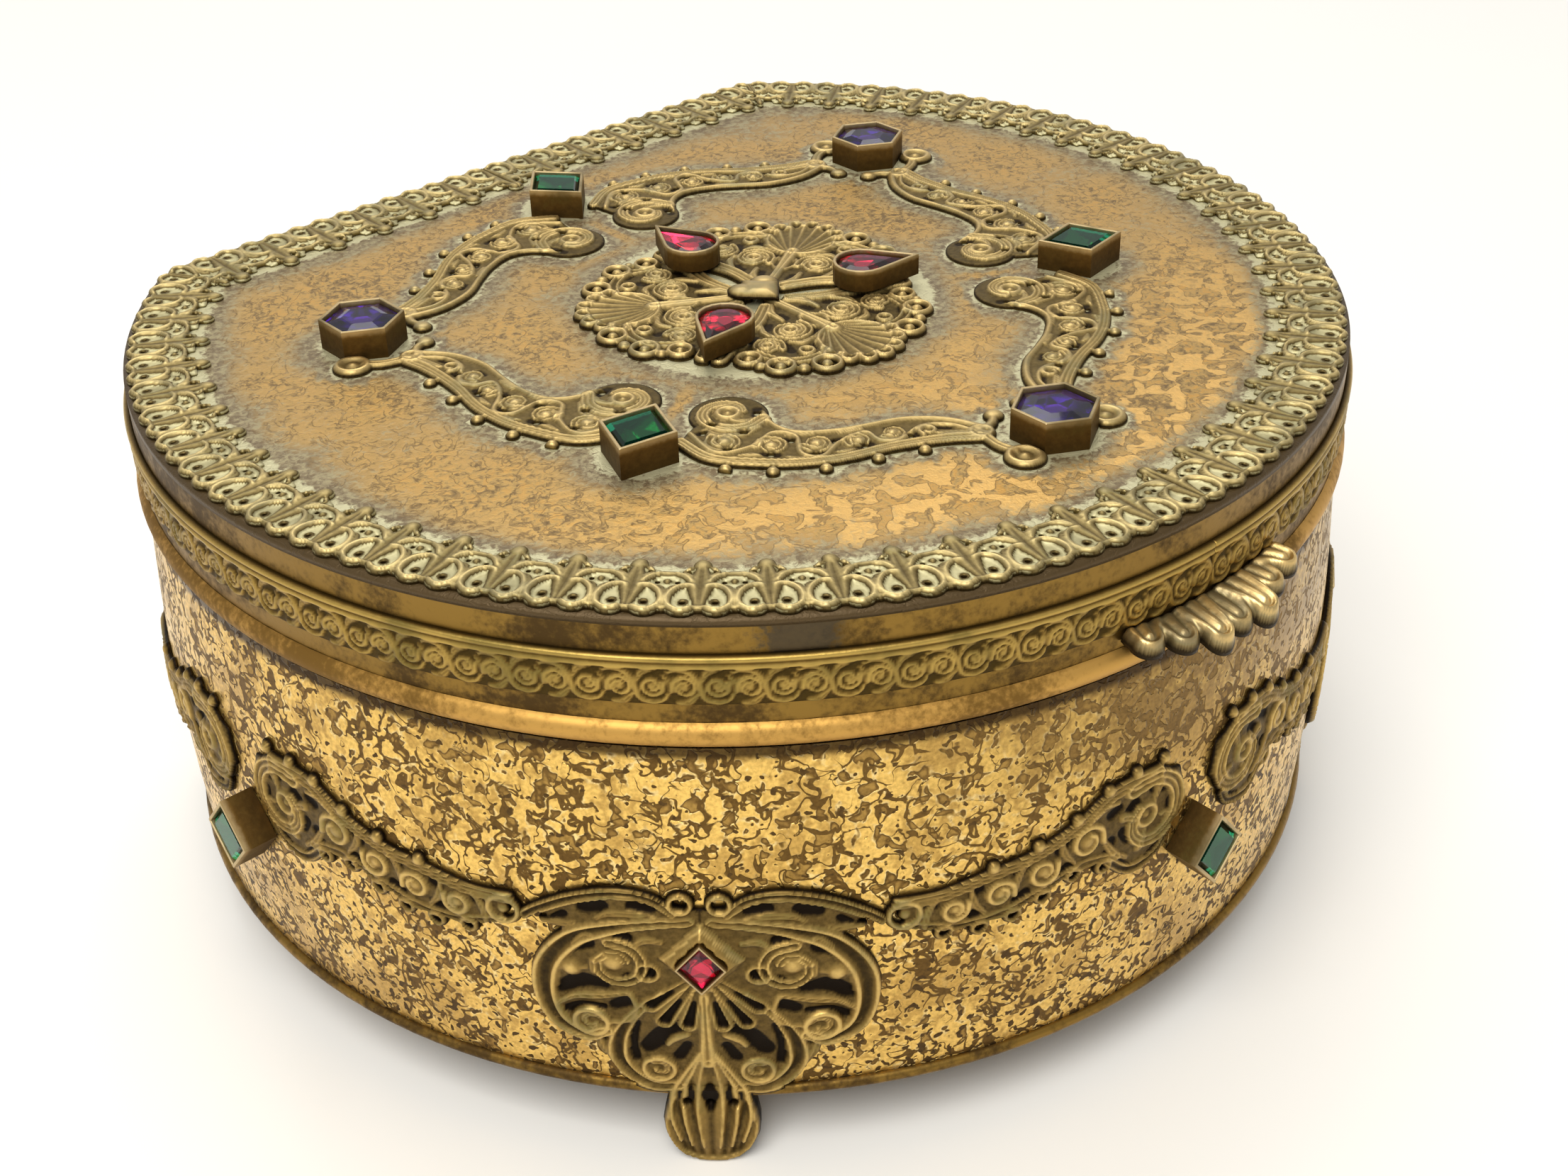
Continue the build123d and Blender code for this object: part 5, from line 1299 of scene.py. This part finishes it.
# Lid plate, with the distance to the ornament kept for its stains, and the place under the ornament kept
# for painted shade
plate = {"cell": 1.1, "thick": 1.0}


def plateField(at):
    return planGap(at), np.zeros(len(at))


sheet = reliefSheet(plateField, (-82.2, outline["centreY"] - 82.2, 82.2, outline["centreY"] + 61.6),
                    plate["cell"], plate["thick"], 1.0)
haloLayer = sheet.verts.layers.float.new("halo")
frontLayer = sheet.verts.layers.float.new("front")
at = np.array([v.co.xy for v in sheet.verts])
gap = -planGap(at, -9.6)
covered = np.zeros(len(at), bool)
for angle in lidAngles.values():
    turn = math.pi / 2 - angle
    local = mirrorX(np.stack(turned(at - (0, ornamentY), turn), 1))
    under = strokeField(local, garlandStrokes)[0]
    covered |= under < -1.1
    gap = np.minimum(gap, under)
    gap = np.minimum(gap, dotGap(local, 0, lidStones["greenRing"]) - 5.0)
    gap = np.minimum(gap, dotGap(local, *sixAt) - 5.4)
gap = np.minimum(gap, dotGap(at, 0, ornamentY) - 23.0)
inside = -planGap(at)
covered |= inside < 8.0
for v, near, y, dark in zip(sheet.verts, np.exp(-np.clip(gap, 0, 99) / 2.6), at[:, 1], covered):
    v[haloLayer] = near
    # under the border and the garlands front is -1, which paints the plate dark as shade
    v[frontLayer] = -1.0 if dark else min(max((-12.0 - y) / 40.0, 0.0), 1.0)
makePiece("etched_lid_plate", sheet, lambda co: co + (0, 0, outline["plateTop"] - plate["thick"]),
          plateGold, "lid", ["lid_plate"])
print("lid plate rolled")

# Finishes for the nodes that stay
finishes = {
    "wall": wallGold, "lid_band": bandGold, "lid_bead": beadGold, "base_bead": bandGold,
    "collar": bandGold, "base_plate": bandGold, "box_hinge_leaf": hingeBrass,
    "lid_hinge_leaf": hingeBrass, "hinge_pin": hingeBrass,
}
for name, finish in finishes.items():
    for slot in frame["nodes"][name].material_slots:
        slot.material = finish


# Studio: pale floor, soft lamps and the photograph's camera
floorMesh = bpy.data.meshes.new("floor")
bm = bmesh.new()
bmesh.ops.create_grid(bm, x_segments=1, y_segments=1, size=3.0)
bm.to_mesh(floorMesh)
bm.free()
floor = bpy.data.objects.new("floor", floorMesh)
bpy.context.scene.collection.objects.link(floor)
floorPaint, add, shader = newMaterial("palePaperFloor")
add(shader, {"Base Color": "#F4F1EA", "Roughness": 0.6})
floorMesh.materials.append(floorPaint)

world = bpy.data.worlds.new("studio")
bpy.context.scene.world = world
world.use_nodes = True
tree = world.node_tree
background = tree.nodes["Background"]
add = partial(addNode, tree)
paths = tree.nodes.new("ShaderNodeLightPath")
mirrorRay = add("Math", [paths.outputs["Is Glossy Ray"], paths.outputs["Is Transmission Ray"]],
                operation="MAXIMUM")
up = add("SeparateXYZ", [add("TexCoord")], out=2)
# the studio's ceiling is dimmer than its backdrop
ceiling = add("MapRange", [up, 0.05, 0.4, 1.0, 0.62], **soft)
lit = add("Mix", {0: mirrorRay, 2: 0.55, 3: ceiling})
strength = add("Mix", {0: paths.outputs["Is Camera Ray"], 2: lit, 3: 1.0})
add(background, {"Color": "#FDFCFA", "Strength": strength})

lamps = {
    "key": {"at": (-0.55, -0.35, 0.95), "size": 0.7, "power": 10.2},
    "rim": {"at": (0.32, 0.52, 1.15), "size": 0.8, "power": 5.4},
}
for name, lamp in lamps.items():
    data = bpy.data.lights.new(name, "AREA")
    data.energy = lamp["power"]
    data.size = lamp["size"]
    light = bpy.data.objects.new(name, data)
    light.location = lamp["at"]
    light.rotation_euler = (Vector((0, 0, 0.04)) - Vector(lamp["at"])).to_track_quat("-Z", "Y").to_euler()
    bpy.context.scene.collection.objects.link(light)

view = {"lens": 48.32, "at": (-0.1716, -0.1914, 0.2019), "right": (0.74078, -0.67140, -0.02182),
        "down": (-0.37748, -0.38918, -0.84026), "forward": (0.55566, 0.63068, -0.54174)}
cameraData = bpy.data.cameras.new("camera")
cameraData.lens = view["lens"]
cameraData.sensor_width = 36.0
cameraData.clip_start = 0.01
camera = bpy.data.objects.new("camera", cameraData)
bpy.context.scene.collection.objects.link(camera)
axes = Matrix((view["right"], [-v for v in view["down"]], [-v for v in view["forward"]])).transposed()
camera.matrix_world = Matrix.Translation(view["at"]) @ axes.to_4x4()
bpy.context.scene.camera = camera
bpy.context.scene.view_settings.view_transform = "Standard"
print("studio ready")

counts = {}
for piece in bpy.data.objects:
    if piece.type == "MESH" and not piece.hide_render:
        piece.data.calc_loop_triangles()
        counts[piece.name] = len(piece.data.loop_triangles)
most = max(counts, key=counts.get)
print("triangles:", sum(counts.values()), "in all, most in", most, counts[most])
